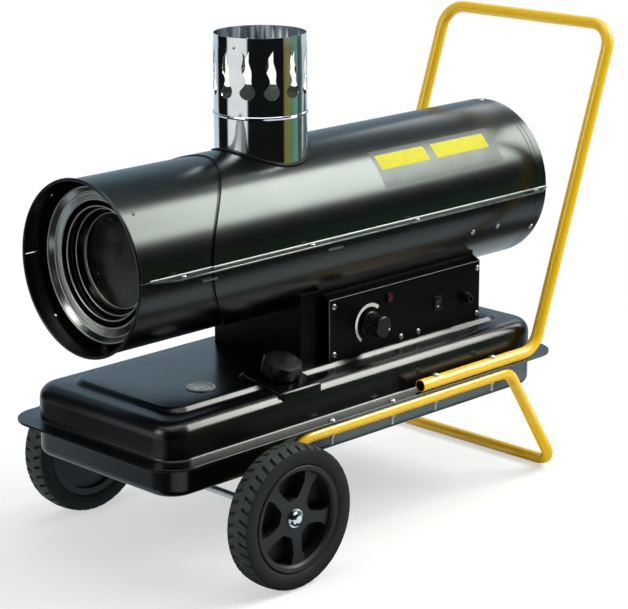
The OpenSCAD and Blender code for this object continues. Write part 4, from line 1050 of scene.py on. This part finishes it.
def room_colour(tree, vector, stops):
    """Colour of the room in a direction, from its compass angle, and the direction's height."""
    x, y, z = split(tree, vector)
    turns = remap(tree, calc(tree, "ARCTAN2", y, x), -math.pi, math.pi)
    walls = add(tree, "ShaderNodeValToRGB", {"Fac": turns})
    ramp = walls.color_ramp
    while len(ramp.elements) < len(stops):
        ramp.elements.new(0.5)
    for element, (angle, colour) in zip(ramp.elements, stops):
        element.position = angle / 360 + 0.5
        element.color = srgb(colour)
    return walls.outputs["Color"], z


# Flags and cards in a low ring round the object, outside the picture: the chrome shows them as light and dark bands.
CARD_RING_R = 2.2
CARD_STEPS = 100
card_paper = bpy.data.materials.new("studio cards")
card_paper.use_nodes = True
tree = card_paper.node_tree
tree.nodes.clear()
level, _ = room_colour(tree, add(tree, "ShaderNodeTexCoord").outputs["Object"], CARDS)
card_face = add(tree, "ShaderNodeEmission", {"Color": level, "Strength": 1.0})
add(tree, "ShaderNodeOutputMaterial", {"Surface": card_face.outputs[0]})
card_corners = []
for angle in (100 + 248 * i / CARD_STEPS for i in range(CARD_STEPS + 1)):
    a = math.radians(angle)
    for height in (0.0, 0.9 if angle < 280 else 0.5):
        card_corners.append((CARD_RING_R * math.cos(a), CARD_RING_R * math.sin(a), height))
card_faces = [(2 * i, 2 * i + 1, 2 * i + 3, 2 * i + 2) for i in range(CARD_STEPS)]
cards = sheet("cards", card_corners, card_faces, card_paper)
cards.visible_camera = False

# Dark cloths on the floor beside the camera, under the near side and before the front end, seen only in gloss.
CLOTHS = (((-2.4, 3.4), (-3.0, -0.70)), ((-0.8, 1.0), (-0.36, -0.1)), ((-1.42, -0.76), (-0.7, 1.1)))
CLOTH_Z = 0.004
cloth_face = bpy.data.materials.new("dark studio cloth")
cloth_face.use_nodes = True
cloth_look = cloth_face.node_tree.nodes["Principled BSDF"].inputs
cloth_look["Base Color"].default_value = srgb("#14191c")
cloth_look["Roughness"].default_value = 0.9
cloth_corners = [
    (x, y, CLOTH_Z) for (x0, x1), (y0, y1) in CLOTHS for x, y in ((x0, y0), (x1, y0), (x1, y1), (x0, y1))
]
cloth = sheet("cloth", cloth_corners, [(0, 1, 2, 3), (4, 5, 6, 7), (8, 9, 10, 11)], cloth_face)
cloth.visible_camera = cloth.visible_diffuse = cloth.visible_shadow = False

# Room light: the walls' colours, dimmer above head height, under a pale ceiling.
world = bpy.data.worlds.new("studio")
bpy.context.scene.world = world
world.use_nodes = True
tree = world.node_tree
tree.nodes.clear()
level, height = room_colour(tree, add(tree, "ShaderNodeTexCoord").outputs["Generated"], WALLS)
overhead = remap(tree, height, 0.74, 0.9, curve="SMOOTHSTEP")
dimmed = {0: level, "Scale": remap(tree, height, 0.48, 0.6, 1.0, 0.5)}
dimmed = add(tree, "ShaderNodeVectorMath", dimmed, operation="SCALE").outputs["Vector"]
room = blend(tree, overhead, dimmed, (0.95, 0.97, 1.0, 1))
sky = add(tree, "ShaderNodeBackground", {"Color": room, "Strength": 1.0})
add(tree, "ShaderNodeOutputWorld", {"Surface": sky.outputs[0]})


def soft_box(name, place, aim, size, power, long_side=(1, 0, 0), tint=(1, 1, 1)):
    """A rectangular lamp that faces a point, its first size along the long side's direction."""
    lamp = bpy.data.lights.new(name, "AREA")
    lamp.shape = "RECTANGLE"
    lamp.size, lamp.size_y = size
    lamp.energy = power
    lamp.color = tint
    face = (Vector(place) - Vector(aim)).normalized()
    side = (Vector(long_side) - face * face.dot(Vector(long_side))).normalized()
    obj = put(name, lamp)
    obj.location = place
    obj.rotation_euler = Matrix((side, face.cross(side), face)).transposed().to_euler()


soft_box("overhead_box", (-0.2, -0.3, 3.0), (0, 0, 0.3), (2.4, 1.8), 20)
# The key's long side crosses the barrel, so its reflection is one broad band along the near upper side.
soft_box("key_box", (6.13, -3.71, 5.91), (-0.17, -0.12, 0.58), (5.8, 2.85), 920, (0, 0.857, 0.515), (1.0, 1.0, 0.93))
soft_box("rear_box", (3.5, 1.27, 2.5), (0.2, -0.05, 0.62), (2.0, 0.8), 11, (0.4, -0.9, 0))
soft_box("left_box", (-2.8, 0.4, 1.9), (0, 0, 0.4), (1.2, 1.2), 20, (0, 1, 0))

# Camera: the picture's size, its optical centre and its focal length in pixels, then where it stands.
PICTURE = (628, 609)
OPTICAL_CENTRE = (290.4, 302.0)
FOCAL_LENGTH = 2238
DISTANCE = 3.718
azimuth, elevation, roll = math.radians(-44.47), math.radians(15.46), math.radians(-0.29)
target = Vector((-79.0, 0, 361.1)) * MM
away = Vector((math.sin(azimuth) * math.cos(elevation), -math.cos(azimuth) * math.cos(elevation), math.sin(elevation)))
camera_data = bpy.data.cameras.new("camera")
camera_data.sensor_fit = "HORIZONTAL"
camera_data.sensor_width = 36
camera_data.lens = FOCAL_LENGTH / PICTURE[0] * camera_data.sensor_width
camera_data.shift_x = (PICTURE[0] / 2 - OPTICAL_CENTRE[0]) / PICTURE[0]
camera_data.shift_y = (OPTICAL_CENTRE[1] - PICTURE[1] / 2) / PICTURE[0]
camera_data.clip_end = 200
camera = put("camera", camera_data)
camera.location = target + away * DISTANCE
turned = away.to_track_quat("Z", "Y").to_matrix().to_4x4() @ Matrix.Rotation(roll, 4, "Z")
camera.rotation_euler = turned.to_euler()
bpy.context.scene.camera = camera

bpy.context.scene.view_settings.view_transform = "Standard"
